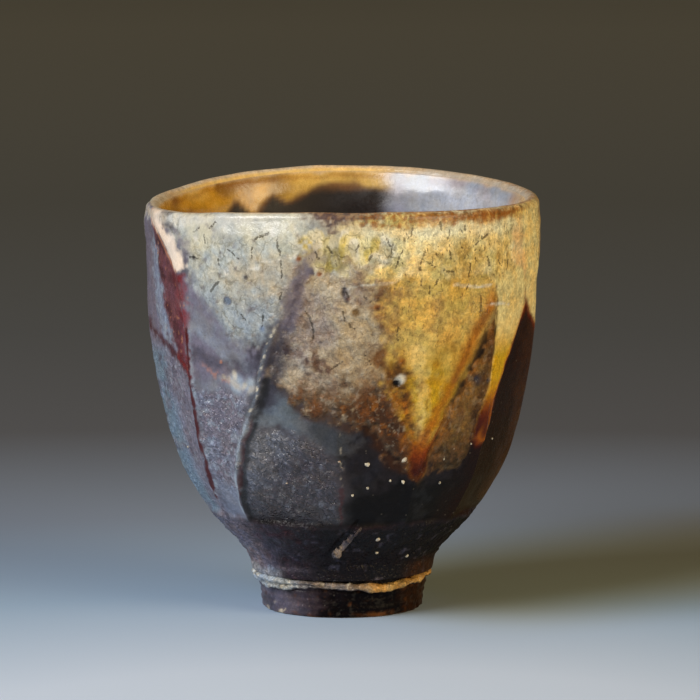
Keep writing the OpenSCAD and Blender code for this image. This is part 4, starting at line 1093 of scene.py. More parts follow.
def ceramic(name):
    """A fired surface whose colours and finishes come from the piece's own fields."""
    material = bpy.data.materials.new(name)
    material.use_nodes = True
    n = Nodes(material.node_tree)
    shader = n.find("BSDF_PRINCIPLED")
    shader.inputs["Specular IOR Level"].default_value = SHINE.get(name, 0.1)
    place = n.put("ShaderNodeTexCoord").outputs["Object"]
    mm = n.vector("SCALE", place, 1 / MM)
    bent = n.put("ShaderNodeTexNoise", {"Vector": mm, "Scale": 0.8, "Detail": 2.0}).outputs["Color"]
    push = n.vector("SUBTRACT", bent, (0.5, 0.5, 0.5))
    push = n.vector("SCALE", push, 1.6)
    warped = n.vector("ADD", mm, push)
    slightly = n.vector("SCALE", push, 0.8)
    tall = n.vector("ADD", mm, slightly)
    tall = n.vector("MULTIPLY", tall, (1.0, 1.0, 0.3))
    wash = n.put("ShaderNodeAttribute", attribute_name="wash").outputs["Color"]
    f = {key: n.field(key) for key in FINISHES}

    coarse = n.noise(mm, 0.55, 4.0, 0.62)
    medium = n.noise(warped, 1.5, 3.0, 0.6)
    tiny = n.noise(mm, 4.5, 2.0, 0.55)

    # Mottling: darker, lighter, warmer and cooler clouds of the wash itself
    shade = n.times_plus(n.centred(coarse), 2.0, n.times(n.centred(medium), 2.0))
    shade = n.times_plus(n.centred(tiny), 0.9, shade)
    shade = n.times_plus(shade, f["mottle"], 1.0)
    shade = n.math("MAXIMUM", shade, 0.15)
    colour = n.blend(1.0, wash, n.grey(shade), "MULTIPLY")
    clouds = n.between(n.noise(mm, 0.24, 3.0, 0.6), 0.36, 0.64)
    tint = n.blend(clouds, (0.9, 0.99, 1.1, 1), (1.09, 1.0, 0.84, 1))
    colour = n.blend(n.times(f["mottle"], 1.3, clamp=True), colour, n.blend(1.0, colour, tint, "MULTIPLY"))

    # Crackle: broken lines round cells of several millimetres
    cells = n.cells(warped, 0.34, "DISTANCE_TO_EDGE")
    cells2 = n.cells(warped, 0.8, "DISTANCE_TO_EDGE")
    line = n.between(cells, 0.022, 0.07, 1.0, 0.0)
    line2 = n.between(cells2, 0.02, 0.06, 0.7, 0.0)
    broken = n.between(n.noise(mm, 0.42, 2.0), 0.46, 0.56)
    broken2 = n.between(n.noise(mm, 0.3, 2.0, 0.7), 0.54, 0.62)
    crackle = n.math("MAXIMUM", n.times(line, broken), n.times(line2, broken2))
    crackle = n.times(crackle, f["crackle"], clamp=True)
    colour = n.blend(crackle, colour, n.blend(0.75, colour, solid("olive"), "MULTIPLY"))

    # Single cracks: the field holds the distance to the nearest one, in millimetres
    ragged = n.times_plus(n.centred(medium), 0.7, f["crack"])
    crack = n.between(ragged, 0.12, 0.26, 1.0, 0.0)
    colour = n.blend(n.times(crack, 0.8), colour, n.blend(0.85, colour, solid("dark olive"), "MULTIPLY"))
    crackle = n.math("MAXIMUM", crackle, crack)

    # Dashes: upright ticks of two sizes in clusters
    marks = []
    for size, reach, share, threshold in ((1.7, 0.18, 0.35, 0.4), (0.85, 0.11, 0.5, 0.47)):
        ticks = n.put("ShaderNodeTexVoronoi", {"Vector": tall, "Scale": size}, feature="F1")
        mark = n.between(ticks.outputs["Distance"], reach, reach + 0.07, 1.0, 0.0)
        chance = n.put("ShaderNodeSeparateColor", {0: ticks.outputs["Color"]}).outputs[0]
        picked = n.between(chance, share, share + 0.05)
        spread_of = n.between(n.noise(mm, 0.3 / size + 0.1, 3.0, 0.7), threshold, threshold + 0.1)
        marks.append(n.times(n.times(mark, picked), spread_of))
    dash = n.times(n.math("MAXIMUM", marks[0], marks[1]), f["dash"], clamp=True)
    colour = n.blend(n.times(dash, 0.9), colour, n.blend(0.9, colour, solid("dark brown"), "MULTIPLY"))
    streaks = n.noise(tall, 1.6, 3.0, 0.65)
    shade = n.times_plus(n.centred(streaks), n.times(f["dash"], 1.3), 1.0)
    colour = n.blend(1.0, colour, n.grey(shade), "MULTIPLY")

    # Grain: round beads of two sizes, lighter on top and darker between: painted light and shade on the beads
    bead = n.cells(warped, 1.35, "F1")
    bead = n.times_plus(n.times(bead, bead), -2.0, 1.0, clamp=True)
    bead = n.times(bead, n.between(n.noise(mm, 0.8, 1.0), 0.38, 0.62, 0.35, 1.0))
    small_bead = n.cells(mm, 3.0, "F1")
    small_bead = n.times_plus(n.times(small_bead, small_bead), -2.0, 1.0, clamp=True)
    grain = n.times_plus(small_bead, 0.35, bead)
    shade = n.times_plus(n.centred(grain), n.times(f["grain"], 0.9), 1.0)
    colour = n.blend(1.0, colour, n.grey(shade), "MULTIPLY")

    # Dry crust: pale crumbs, dark pores and thin creases
    crumbs = n.noise(mm, 0.85, 3.0, 0.55)
    pale = n.times(n.between(crumbs, 0.53, 0.68), f["dry"])
    colour = n.blend(n.times(pale, 0.22), colour, solid("pale"))
    pores = n.times(n.between(crumbs, 0.34, 0.44, 1.0, 0.0), f["dry"])
    colour = n.blend(n.times(pores, 0.3), colour, solid("dark brown"))
    fold = n.math("ABSOLUTE", n.centred(n.noise(warped, 0.42, 3.0, 0.6)))
    crease = n.times(n.between(fold, 0.004, 0.022, 1.0, 0.0), n.between(medium, 0.44, 0.54))
    crease = n.times(crease, f["dry"])
    colour = n.blend(n.times(crease, 0.35), colour, solid("dark brown"))

    # Specks: rust and dark freckles that run together along the rim
    freckle = n.noise(mm, 1.7, 3.0, 0.6)
    speck = n.times(n.between(freckle, 0.47, 0.56), f["speck"], clamp=True)
    speck_tone = n.blend(n.between(n.noise(mm, 1.1, 2.0), 0.46, 0.62), solid("rim orange"), solid("rust"))
    colour = n.blend(n.times(speck, 0.8), colour, speck_tone)

    # Flecks: small pale grains here and there
    points = n.put("ShaderNodeTexVoronoi", {"Vector": mm, "Scale": 0.62}, feature="F1")
    fleck = n.between(points.outputs["Distance"], 0.08, 0.14, 1.0, 0.0)
    chosen = n.between(n.put("ShaderNodeSeparateColor", {0: points.outputs["Color"]}).outputs[0], 0.74, 0.78)
    fleck = n.times(n.times(fleck, chosen), f["fleck"], clamp=True)
    colour = n.blend(fleck, colour, solid("pale"))

    # Relief, in millimetres
    relief = n.times(n.times(bead, 0.24), f["grain"])
    relief = n.times_plus(n.times(small_bead, 0.05), f["grain"], relief)
    relief = n.times_plus(n.times(crumbs, 0.8), f["dry"], relief)
    wave = WAVE.get(name, 1.0)
    for mark, height in ((crease, -0.1), (crackle, -0.06), (dash, -0.07), (fleck, 0.12),
                         (coarse, 0.14 * wave), (medium, 0.05 * wave)):
        relief = n.times_plus(mark, height, relief)
    bump = n.put("ShaderNodeBump", {"Strength": 1.0, "Distance": MM, "Height": relief}).outputs["Normal"]

    rough = n.times_plus(n.centred(medium), 0.3, f["rough"])
    rough = n.times_plus(n.centred(tiny), 0.25, rough)
    rough = n.times_plus(f["dry"], 0.12, rough)
    rough = n.math("MINIMUM", n.math("MAXIMUM", rough, 0.06), 0.95)
    n.tree.links.new(colour, shader.inputs["Base Color"])
    n.tree.links.new(rough, shader.inputs["Roughness"])
    n.tree.links.new(bump, shader.inputs["Normal"])
    n.tree.links.new(f["gloss"], shader.inputs["Coat Weight"])
    n.tree.links.new(bump, shader.inputs["Coat Normal"])
    shader.inputs["Coat Roughness"].default_value = COAT_ROUGH.get(name, 0.14)
    return material


SLOTS = ["stoneware", "foot_clay", "seam_clay", "liner_glaze", "dark_glaze", "ash_glaze", "ash_crust",
         "amber_glaze", "kiln_grit", "clay_chip"]
MATERIAL = {slot: ceramic(slot) for slot in SLOTS}


# Pieces
def add_piece(name, slot, node, verts, faces, normals, wash, fields):
    """Makes one piece. Rows of normals that are all zero get the mesh's own normal."""
    mesh = bpy.data.meshes.new(name)
    mesh.from_pydata((np.asarray(verts) * MM).tolist(), [], faces)
    mesh.validate(clean_customdata=False)
    mesh.update()
    count = len(mesh.vertices)
    colour = mesh.attributes.new("wash", "FLOAT_COLOR", "POINT")
    colour.data.foreach_set("color", np.column_stack([wash, np.ones(count)]).astype(np.float32).ravel())
    for key, value in fields.items():
        mesh.attributes.new(key, "FLOAT", "POINT").data.foreach_set("value", value.astype(np.float32))
    mesh.polygons.foreach_set("use_smooth", np.ones(len(mesh.polygons), bool))
    if normals is not None:
        own = np.empty(count * 3, np.float32)
        mesh.vertex_normals.foreach_get("vector", own)
        own = own.reshape(-1, 3)
        given = np.linalg.norm(normals, axis=1) > 0.5
        own[given] = normals[given]
        mesh.normals_split_custom_set_from_vertices(own.tolist())
    piece = bpy.data.objects.new(name, mesh)
    bpy.context.scene.collection.objects.link(piece)
    mesh.materials.append(MATERIAL[slot])
    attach(piece, "root")
    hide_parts(node)
    return piece


def ring_faces(rings, columns):
    """Quads between neighbouring rings, and a fan at each end."""
    k = np.arange(columns)
    after = (k + 1) % columns
    faces = []
    for j in range(rings - 1):
        a, b = j * columns, (j + 1) * columns
        faces += np.column_stack([a + k, a + after, b + after, b + k]).tolist()
    start, end, last = rings * columns, rings * columns + 1, (rings - 1) * columns
    faces += np.column_stack([np.full(columns, start), after, k]).tolist()
    faces += np.column_stack([np.full(columns, end), last + k, last + after]).tolist()
    return faces


def vessel(name, slot, node, rings, start, end, normals, wash, fields):
    """A closed piece from rings of points, with one more point in the middle of each end."""
    rings = np.asarray(rings)
    count, columns = rings.shape[:2]
    verts = np.concatenate([rings.reshape(-1, 3), [start, end]])
    flat = normals.reshape(-1, 3)
    normals = np.concatenate([flat, np.zeros((2, 3))])
    wash = np.concatenate([wash.reshape(-1, 3), wash[0, :1], wash[-1, :1]])
    fields = {key: np.concatenate([v.ravel(), v[0, :1], v[-1, :1]]) for key, v in fields.items()}
    return add_piece(name, slot, node, verts, ring_faces(count, columns), normals, wash, fields)


def coat(name, slot, node, cells, thickness):
    """A closed coat over some cells of the shared grid. Its hidden back has a quarter of the cells."""
    blocks = cells[::2, ::2]
    rows, columns = cells.shape
    vertex = np.full((rows + 1, columns), -1)
    use = np.zeros((rows + 1, columns), bool)
    for dj in (0, 1):
        for dk in (0, 1):
            use[dj:rows + dj] |= np.roll(cells, dk, axis=1)
    vertex[use] = np.arange(use.sum())
    back_use = np.zeros((rows + 1, columns), bool)
    for dj in (0, 2):
        for dk in (0, 2):
            shifted = np.zeros((rows + 1, columns), bool)
            shifted[dj:rows + dj:2, ::2][:blocks.shape[0]] = blocks
            back_use |= np.roll(shifted, dk, axis=1)
    back = np.full((rows + 1, columns), -1)
    back[back_use] = np.arange(back_use.sum()) + use.sum()
    j, k = np.nonzero(cells)
    k2 = (k + 1) % columns
    faces = np.column_stack([vertex[j, k], vertex[j, k2], vertex[j + 1, k2], vertex[j + 1, k]]).tolist()
    bj, bk = np.nonzero(blocks)
    j, k = bj * 2, bk * 2
    k2, km = (k + 2) % columns, (k + 1) % columns
    faces += np.column_stack([back[j, k], back[j + 2, k], back[j + 2, k2], back[j, k2]]).tolist()
    below = np.zeros_like(blocks)
    below[1:] = blocks[:-1]
    above = np.zeros_like(blocks)
    above[:-1] = blocks[1:]
    left, right = np.roll(blocks, 1, axis=1), np.roll(blocks, -1, axis=1)
    for neighbour, corner in ((below, "below"), (above, "above"), (left, "left"), (right, "right")):
        open_side = ~neighbour[bj, bk]
        jj, kk, kk2, kkm = j[open_side], k[open_side], k2[open_side], km[open_side]
        if corner == "below":
            side = [vertex[jj, kk2], vertex[jj, kkm], vertex[jj, kk], back[jj, kk], back[jj, kk2]]
        elif corner == "above":
            side = [vertex[jj + 2, kk], vertex[jj + 2, kkm], vertex[jj + 2, kk2], back[jj + 2, kk2],
                    back[jj + 2, kk]]
        elif corner == "left":
            side = [vertex[jj, kk], vertex[jj + 1, kk], vertex[jj + 2, kk], back[jj + 2, kk], back[jj, kk]]
        else:
            side = [vertex[jj + 2, kk2], vertex[jj + 1, kk2], vertex[jj, kk2], back[jj, kk2],
                    back[jj + 2, kk2]]
        faces += np.column_stack(side).tolist()
    inward = SMOOTH_NORMAL[:rows + 1]
    verts = np.concatenate([GRID[:rows + 1][use], (GRID[:rows + 1] - inward * thickness)[back_use]])
    normals = np.concatenate([NORMAL[:rows + 1][use], np.zeros((back_use.sum(), 3))])
    wash = np.concatenate([WASH[:rows + 1][use], WASH[:rows + 1][back_use]])
    fields = {key: np.concatenate([v[:rows + 1][use], v[:rows + 1][back_use]]) for key, v in FIELDS.items()}
    return add_piece(name, slot, node, verts, faces, normals, wash, fields)


def pick(rows):
    """Those rows of every field."""
    return {key: v[rows] for key, v in FIELDS.items()}


SMOOTH_NORMAL = np.concatenate([grid_normals(BASE), NORMAL[OUTER_ROWS + 1:]])

# Which piece each cell of the outside belongs to, in blocks of two by two
middle = (slice(1, OUTER_ROWS, 2), slice(1, None, 2))
first_dark = int(np.ceil((DARK_Z - FOOT_H) / (base_z[1] - base_z[0]) / 2))
is_ash = (Z - ash_line(A))[middle] > 0
is_run = (np.maximum(d_run, d_run2)[middle] > 0) & ~is_ash
is_crust = (d_crust[middle] > 0) & ~is_ash & ~is_run
row_index = np.arange(OUTER_ROWS // 2)[:, None]
kind = np.where(is_ash, "ash", np.where(is_run, "run", np.where(is_crust, "crust", "dark")))
kind = np.where(row_index < first_dark, "bare", kind)
kind = np.repeat(np.repeat(kind, 2, axis=0), 2, axis=1)
for name, slot, node, coat_kind in [
        ("dark_glaze_coat", "dark_glaze", "dark_glaze", "dark"),
        ("ash_glaze_coat", "ash_glaze", "ash_glaze", "ash"),
        ("ash_crust_sheet", "ash_crust", "ash_crust", "crust"),
        ("amber_glaze_runs", "amber_glaze", "amber_runs", "run")]:
    coat(name, slot, node, kind == coat_kind, COAT_BACK[coat_kind])

# Clay body: the lip and the neck show, and the rest lies under the coats
neck_last = first_dark * 2
outer_hidden = list(range(neck_last + 4, OUTER_ROWS - 4, 6))
inner_hidden = list(range(IN_START + 4, ROWS - 4, 4))
rings, ring_normals, ring_rows = [], [], []
for row in list(range(0, neck_last + 1)) + outer_hidden + list(range(LIP_START, IN_START + 1)) + inner_hidden:
    hidden = row in outer_hidden or row in inner_hidden
    sunk = BODY_UNDER_COAT if row in outer_hidden else BODY_UNDER_LINER
    rings.append(GRID[row] - SMOOTH_NORMAL[row] * (sunk if hidden else 0))
    ring_normals.append(NORMAL[row] * (0 if hidden else 1))
    ring_rows.append(row)
vessel("clay_body_wall", "stoneware", "clay_body", rings, (0, 0, FOOT_H), (0, 0, FLOOR_Z - BODY_UNDER_POOL),
       np.array(ring_normals), WASH[ring_rows], pick(ring_rows))

# Liner: its hidden back first, then the side that shows
back_rows = list(range(ROWS - 1, IN_START + 1, -4))
rings = [GRID[row] - SMOOTH_NORMAL[row] * LINER_BACK for row in back_rows]
show_rows = list(range(IN_START, ROWS))
rings += [GRID[row] for row in show_rows]
ring_rows = back_rows + show_rows
ring_normals = np.concatenate([np.zeros((len(back_rows), COLUMNS, 3)), NORMAL[show_rows]])
floor_show = GRID[-1, :, 2].mean()
vessel("liner_glaze_coat", "liner_glaze", "liner_glaze", rings, (0, 0, floor_show - LINER_BACK),
       (0, 0, floor_show), ring_normals, WASH[ring_rows], pick(ring_rows))

# Foot ring
FOOT_COLUMNS = 300
foot_rad = np.linspace(0, 2 * math.pi, FOOT_COLUMNS, endpoint=False)
foot_a = signed(np.degrees(foot_rad))
foot_profile = [
    (0.3, RECESS_H, 0), (4, RECESS_H + 0.25, 1), (8, RECESS_H + 0.1, 1), (11.4, RECESS_H, 1),
    (RECESS_D / 2 - 0.35, RECESS_H - 0.3, 1), (RECESS_D / 2, RECESS_H - 1, 1), (RECESS_D / 2, 3, 1),
    (RECESS_D / 2 + 0.05, 1.2, 1), (RECESS_D / 2 + 0.25, 0.4, 1), (RECESS_D / 2 + FOOT_BEVEL, 0.02, 0.2),
    (14.4, 0, 0.1), (FOOT_D / 2 - FOOT_BEVEL, 0.02, 0.2), (FOOT_D / 2 - 0.12, 0.3, 0.8),
    (FOOT_D / 2 + 0.05, 0.8, 1), (16.55, 2.2, 1), (16.7, 3.8, 1), (FOOT_TOP_D / 2, 5.2, 1),
    (FOOT_TOP_D / 2 + 0.05, 6.4, 0.5), (FOOT_TOP_D / 2, FOOT_H - FOOT_GAP, 0), (12, FOOT_H - FOOT_GAP, 0),
    (0.3, FOOT_H - FOOT_GAP, 0),
]
profile = np.array(foot_profile)
profile_at = np.concatenate([[0], np.cumsum(np.hypot(*np.diff(profile[:, :2], axis=0).T))])
foot_at = np.unique(np.concatenate([profile_at, np.arange(0, profile_at[-1], 0.42)]))
foot_r, foot_z, foot_free = (np.interp(foot_at, profile_at, profile[:, i]) for i in range(3))
foot_base = round_point(foot_rad[None, :], foot_r[:, None], foot_z[:, None] * np.ones(FOOT_COLUMNS))
foot_bumps = 0.16 * layered(foot_base, 5, 301, 3) + 0.10 * layered(foot_base, 1.4, 311, 2)
foot_bumps *= foot_free[:, None]
outside_wall = (foot_r > FOOT_D / 2 - 0.3)[:, None] & (foot_z < 6.2)[:, None]
drag = 0.10 * np.sin(foot_base[..., 2] * 4.2 + 1.2 * layered(foot_base, 6, 321)) * outside_wall
hollow = (foot_r < RECESS_D / 2 - 0.6)[:, None]
foot_spiral = 0.14 * np.sin(foot_r[:, None] * 2.2 - foot_rad) * hollow * ramp(foot_r, 0, 4)[:, None]
foot_n = grid_normals(foot_base)
FOOT = foot_base + foot_n * (foot_bumps + drag + foot_spiral)[..., None]
FOOT[..., 2] = np.maximum(FOOT[..., 2], 0)
foot_rr = np.hypot(FOOT[..., 0], FOOT[..., 1])
foot = Paint(foot_rr.shape, "foot", 0.5)
fp = layered(FOOT, 4, 331, 4)
fs = layered(FOOT, 1.4, 341, 3)
fa = foot_a[None, :] + 10 * fp
foot.everywhere(mottle=0.5, grain=0.25, dry=0.1, fleck=0.06, gloss=0.0)
foot.set(fall(fa, -40, -10), gloss=0.3)
foot.lay("foot light", band(fa, -150, -110, -50, -20) * 0.8)
foot.lay("foot dark", band(fa, -24, 0, 120, 150) * 0.95, rough=0.35)
foot.lay("clay orange", ramp(0.6 * fs - FOOT[..., 2], -1.5, -0.5) * band(fa, 8, 18, 26, 36) * 0.6)
foot.lay("dark brown", band(fa, 36, 60, 90, 130) * 0.5)
foot.lay("clay orange", ramp(fs, 0.6, 1.0) * 0.25)
foot.lay("pale", ramp(fs, 0.3, 0.7) * band(fa, -70, -60, -50, -44) * fall(FOOT[..., 2], 1.6, 2.6) * 0.7)
foot.lay("foot dark", ramp(fp, 0.1, 0.7) * 0.4)
bottom = (foot_rr < RECESS_D / 2 + 0.3) | (FOOT[..., 2] < 0.15)
foot.lay("base clay", bottom * 0.9, rough=0.7, dry=0.4)
foot.lay("rust", bottom * ramp(fp, 0.0, 0.6) * 0.5)
foot.lay("foot light", bottom * ramp(-fp, 0.2, 0.7) * 0.3)
vessel("foot_ring_turned", "foot_clay", "foot_ring", FOOT, (0, 0, RECESS_H), (0, 0, FOOT_H - FOOT_GAP),
       grid_normals(FOOT), foot.wash, foot.fields)

# Ragged collar between foot and body
SEAM_COLUMNS, SEAM_POINTS = 420, 20
seam_rad = np.linspace(0, 2 * math.pi, SEAM_COLUMNS, endpoint=False)
seam_a = signed(np.degrees(seam_rad))
ring_place = round_point(seam_rad, np.full(SEAM_COLUMNS, 18.0), np.zeros(SEAM_COLUMNS))
wave = layered(ring_place, 5, 401, 3)
jag = layered(ring_place, 1.6, 411, 3)
left_bulge = near(seam_a + 52, 24)
right_bulge = near(seam_a - 34, 22)
reach = SEAM_OVER - 0.35 + 0.4 * left_bulge + 0.4 * wave + 0.28 * jag
mid_z = FOOT_H - SEAM_H * (0.4 + 0.12 * left_bulge + 0.22 * right_bulge)
mid_z += 0.3 * layered(ring_place, 7, 421, 2)
tall = 0.72 + 0.85 * left_bulge + 0.2 * right_bulge + 0.28 * layered(ring_place, 2.6, 431, 3)
round_turn = np.linspace(-math.pi * 0.5, math.pi * 0.62, SEAM_POINTS)
seam_rings = []
for t in round_turn:
    lump_r = np.cos(t) ** 0.7 if math.cos(t) > 0 else 0.0
    r = FOOT_TOP_D / 2 - 0.1 + reach * lump_r
    z = mid_z + tall * math.sin(t)
    z = np.clip(z, FOOT_H - SEAM_H - 0.05, FOOT_H - FOOT_GAP)
    seam_rings.append(round_point(seam_rad, r, z))
second = near(seam_a + 40, 26)
SEAM = np.array(seam_rings)
seam_n = grid_normals(SEAM)
groove = near(np.linspace(0, 1, SEAM_POINTS)[:, None] - 0.4, 0.09) * second * 0.75
seam_rough = 0.3 * layered(SEAM, 1.3, 441, 3) + 0.12 * layered(SEAM, 0.6, 451, 2)
free_side = np.sin(np.linspace(0, math.pi, SEAM_POINTS))[:, None] ** 0.5
SEAM = SEAM + seam_n * ((seam_rough - groove) * free_side)[..., None]
SEAM[..., 2] = np.clip(SEAM[..., 2], FOOT_H - SEAM_H - 0.1, FOOT_H + 0.25)
back_ring = round_point(seam_rad, np.full(SEAM_COLUMNS, FOOT_TOP_D / 2 - 0.3),
                        np.full(SEAM_COLUMNS, FOOT_H - 0.6))
back_low = round_point(seam_rad, np.full(SEAM_COLUMNS, FOOT_TOP_D / 2 - 0.3),
                       np.full(SEAM_COLUMNS, FOOT_H - SEAM_H + 0.3))
seam = Paint(SEAM.shape[:2], "seam grey", 0.5)
sp, ss = layered(SEAM, 3, 461, 3), layered(SEAM, 1.0, 471, 3)
sa = seam_a[None, :] + 6 * sp
seam.everywhere(mottle=0.8, grain=0.6, dry=0.4, gloss=0.3)
seam.lay("seam pale", band(sa, -170, -120, -46, -22) * 0.9, rough=0.3)
seam.lay("seam gold", band(sa, 2, 28, 80, 120) * 0.95)
seam.lay("rust", ramp(sa, 48, 76) * ramp(ss, -0.2, 0.6) * 0.6)
seam.lay("foot dark", ramp(ss, 0.45, 0.9) * 0.45)
seam.lay("foot dark", groove / 0.75 * 0.6)
seam.lay("pale", ramp(-ss, 0.3, 0.8) * fall(sa, 10, 30) * 0.45)
seam.lay("foot", fall(np.linspace(0, 1, SEAM_POINTS)[:, None] + 0.06 * ss, 0.12, 0.3), rough=0.5)
rings = np.concatenate([[back_low], SEAM, [back_ring]])
count = len(rings)
k = np.arange(SEAM_COLUMNS)
after = (k + 1) % SEAM_COLUMNS
faces = []
for j in range(count):
    a, b = j * SEAM_COLUMNS, (j + 1) % count * SEAM_COLUMNS
    faces += np.column_stack([a + k, a + after, b + after, b + k]).tolist()


def pad(v):
    """Gives the two hidden rings the colour of their neighbours."""
    return np.concatenate([v[:1], v, v[-1:]]).reshape((count * SEAM_COLUMNS,) + v.shape[2:])


add_piece("foot_seam_collar", "seam_clay", "foot_seam", rings.reshape(-1, 3), faces, None, pad(seam.wash),
          {key: pad(v) for key, v in seam.fields.items()})


# Grit and chip
def on_wall(turn, z):
    """The point of the outside nearest to a place, and the way out there."""
    gap = ((A - turn) * MM_PER_DEGREE) ** 2 + (Z - z) ** 2
    at = np.unravel_index(np.argmin(gap), gap.shape)
    return OUT[at], SMOOTH_NORMAL[at]


def pebble_shape():
    """A round of points and its triangles, cut from an eight-sided start."""
    points = [(1, 0, 0), (-1, 0, 0), (0, 1, 0), (0, -1, 0), (0, 0, 1), (0, 0, -1)]
    tris = [(0, 2, 4), (2, 1, 4), (1, 3, 4), (3, 0, 4), (2, 0, 5), (1, 2, 5), (3, 1, 5), (0, 3, 5)]
    for _ in range(3):
        cut, made = {}, []

        def half(a, b):
            key = (min(a, b), max(a, b))
            if key not in cut:
                p = (np.array(points[a]) + np.array(points[b])) / 2
                points.append(tuple(p / np.linalg.norm(p)))
                cut[key] = len(points) - 1
            return cut[key]

        for a, b, c in tris:
            ab, bc, ca = half(a, b), half(b, c), half(c, a)
            made += [(a, ab, ca), (b, bc, ab), (c, ca, bc), (ab, bc, ca)]
        tris = made
    return np.array(points), np.array(tris)


GRIT = [
    (-1, 0.41, 0.5), (8.5, 0.4, 1), (21, 0.41, 1), (17.5, 0.36, 0.6), (22, 0.355, 0.7),
    (9.5, 0.34, 0.7), (4, 0.325, 0.6), (38, 0.34, 0.6), (48, 0.43, 0.5), (61, 0.43, 0.6),
    (17, 0.205, 0.8), (19, 0.165, 0.6), (40, 0.15, 0.7), (37, 0.4, 0.5), (-20, 0.35, 0.4),
    (-70, 0.4, 0.5), (105, 0.38, 0.7), (150, 0.45, 0.6), (-150, 0.35, 0.8), (-115, 0.3, 0.6),
]
GRIT_D, GRIT_H = 1.8, 0.7
ball, ball_faces = pebble_shape()
rng = np.random.default_rng(7)
grit_verts, grit_faces, grit_tone = [], [], []
for i, (turn, share, size) in enumerate(GRIT):
    centre, out = on_wall(turn, share * CUP_H)
    side = np.cross((0, 0, 1.0), out)
    side /= np.linalg.norm(side)
    up = np.cross(out, side)
    shape = ball * (1 + 0.28 * layered(ball * 1.4 + 5 * i, 1.0, 501 + i, 2)[:, None])
    long, wide = 0.30 * GRIT_D * size * rng.uniform(0.85, 1.2), 0.30 * GRIT_D * size * rng.uniform(0.6, 0.95)
    tilt = rng.uniform(0, math.pi)
    along, across = side * math.cos(tilt) + up * math.sin(tilt), up * math.cos(tilt) - side * math.sin(tilt)
    high = GRIT_H * size * 0.62
    body = centre + shape[:, :1] * along * long + shape[:, 1:2] * across * wide + shape[:, 2:] * out * high
    grit_faces += (ball_faces + sum(len(v) for v in grit_verts)).tolist()
    grit_verts.append(body)
    grit_tone.append(np.full(len(ball), rng.uniform(0.6, 1.0)))
grit_verts, grit_tone = np.concatenate(grit_verts), np.concatenate(grit_tone)
grit = Paint(grit_tone.shape, "pale", 0.35)
grit.wash = grit.wash * grit_tone[:, None]
grit.lay("rust", ramp(noise(grit_verts, 0.8, 511), 0.3, 0.8) * 0.5)
add_piece("kiln_grit_grains", "kiln_grit", "kiln_grit", grit_verts, grit_faces, None, grit.wash, grit.fields)

CHIP_ROWS, CHIP_POINTS = 44, 18
chip_start, chip_end = np.array((-4.6, 13.3)), np.array((8.4, 20.6))
chip_verts, chip_top = [], []
for s in np.linspace(0, 1, CHIP_ROWS):
    turn, z = mix(chip_start, chip_end, s)
    centre, out = on_wall(turn, z)
    ahead, _ = on_wall(*mix(chip_start, chip_end, min(s + 0.08, 1.08)))
    run = ahead - centre
    run /= np.linalg.norm(run)
    side = np.cross(out, run)
    head = math.exp(-((s - 0.12) / 0.13) ** 2)
    end_fade = math.sin(math.pi * min(1, max(0.0, s * 5 + 0.02)) / 2) * (1 - s) ** 0.3
    half_w = (0.78 + 0.5 * head) * max(end_fade, 0.02)
    high = (0.5 + 0.55 * head) * max(end_fade, 0.02)
    t = np.linspace(0, 2 * math.pi, CHIP_POINTS, endpoint=False)
    section = centre + np.outer(np.cos(t), side) * half_w + np.outer(np.sin(t) * high, out)
    section -= np.outer(np.where(np.sin(t) < 0, 0.15, 0), out)
    chip_verts.append(section)
    chip_top.append(np.full(CHIP_POINTS, s))
chip_verts = np.array(chip_verts)
chip_mid = chip_verts.mean(axis=1, keepdims=True)
chip_verts = chip_mid + (chip_verts - chip_mid) * (1 + 0.3 * layered(chip_verts, 0.9, 521, 3)[..., None])
chip = Paint(chip_verts.shape[:2], "seam grey", 0.45)
cn = layered(chip_verts, 0.9, 531, 3)
chip.everywhere(mottle=0.9, grain=0.5, dry=0.4, gloss=0.2)
chip.lay("foot light", ramp(cn, -0.2, 0.5) * 0.6)
chip.lay("foot", ramp(np.array(chip_top), 0.3, 0.7) * 0.75)
vessel("clay_chip_burr", "clay_chip", "clay_chip", chip_verts[:, ::-1], chip_mid[0, 0], chip_mid[-1, 0],
       np.zeros(chip_verts.shape), chip.wash[:, ::-1], {key: v[:, ::-1] for key, v in chip.fields.items()})

# Floor, light and camera
floor_mesh = bpy.data.meshes.new("floor")
FLOOR_R, FLOOR_SIDES, FLOOR_FAR = 9.0, 96, 1.3
floor_turns = [i * 2 * math.pi / FLOOR_SIDES for i in range(FLOOR_SIDES)]
ring = [(FLOOR_R * math.cos(a), FLOOR_R * math.sin(a), 0) for a in floor_turns]
floor_mesh.from_pydata(ring, [], [list(range(FLOOR_SIDES))])
floor = bpy.data.objects.new("floor", floor_mesh)
bpy.context.scene.collection.objects.link(floor)
cloth = bpy.data.materials.new("floor_paper")
cloth.use_nodes = True
n = Nodes(cloth.node_tree)
shader = n.find("BSDF_PRINCIPLED")
position = n.put("ShaderNodeTexCoord").outputs["Object"]
centre = n.vector("ADD", position, (0.0, 0.16, 0.0))
away = n.put("ShaderNodeVectorMath", {0: centre}, operation="LENGTH").outputs["Value"]
graded = n.put("ShaderNodeValToRGB", {0: n.math("DIVIDE", away, FLOOR_FAR)})
stops = graded.color_ramp
FLOOR_TONES = [(0.0, (212, 229, 253)), (0.09, (209, 225, 250)), (0.172, (160, 187, 218)),
               (0.268, (131, 144, 166)), (0.39, (90, 93, 101)), (0.552, (86, 90, 95)),
               (0.815, (92, 94, 92)), (1.3, (124, 124, 116))]
stops.elements[0].position, stops.elements[1].position = 0.0, 1.0
for at, tone in FLOOR_TONES[1:-1]:
    stops.elements.new(at / FLOOR_FAR)
for element, (at, tone) in zip(stops.elements, FLOOR_TONES):
    element.color = opaque(rgb(*tone))


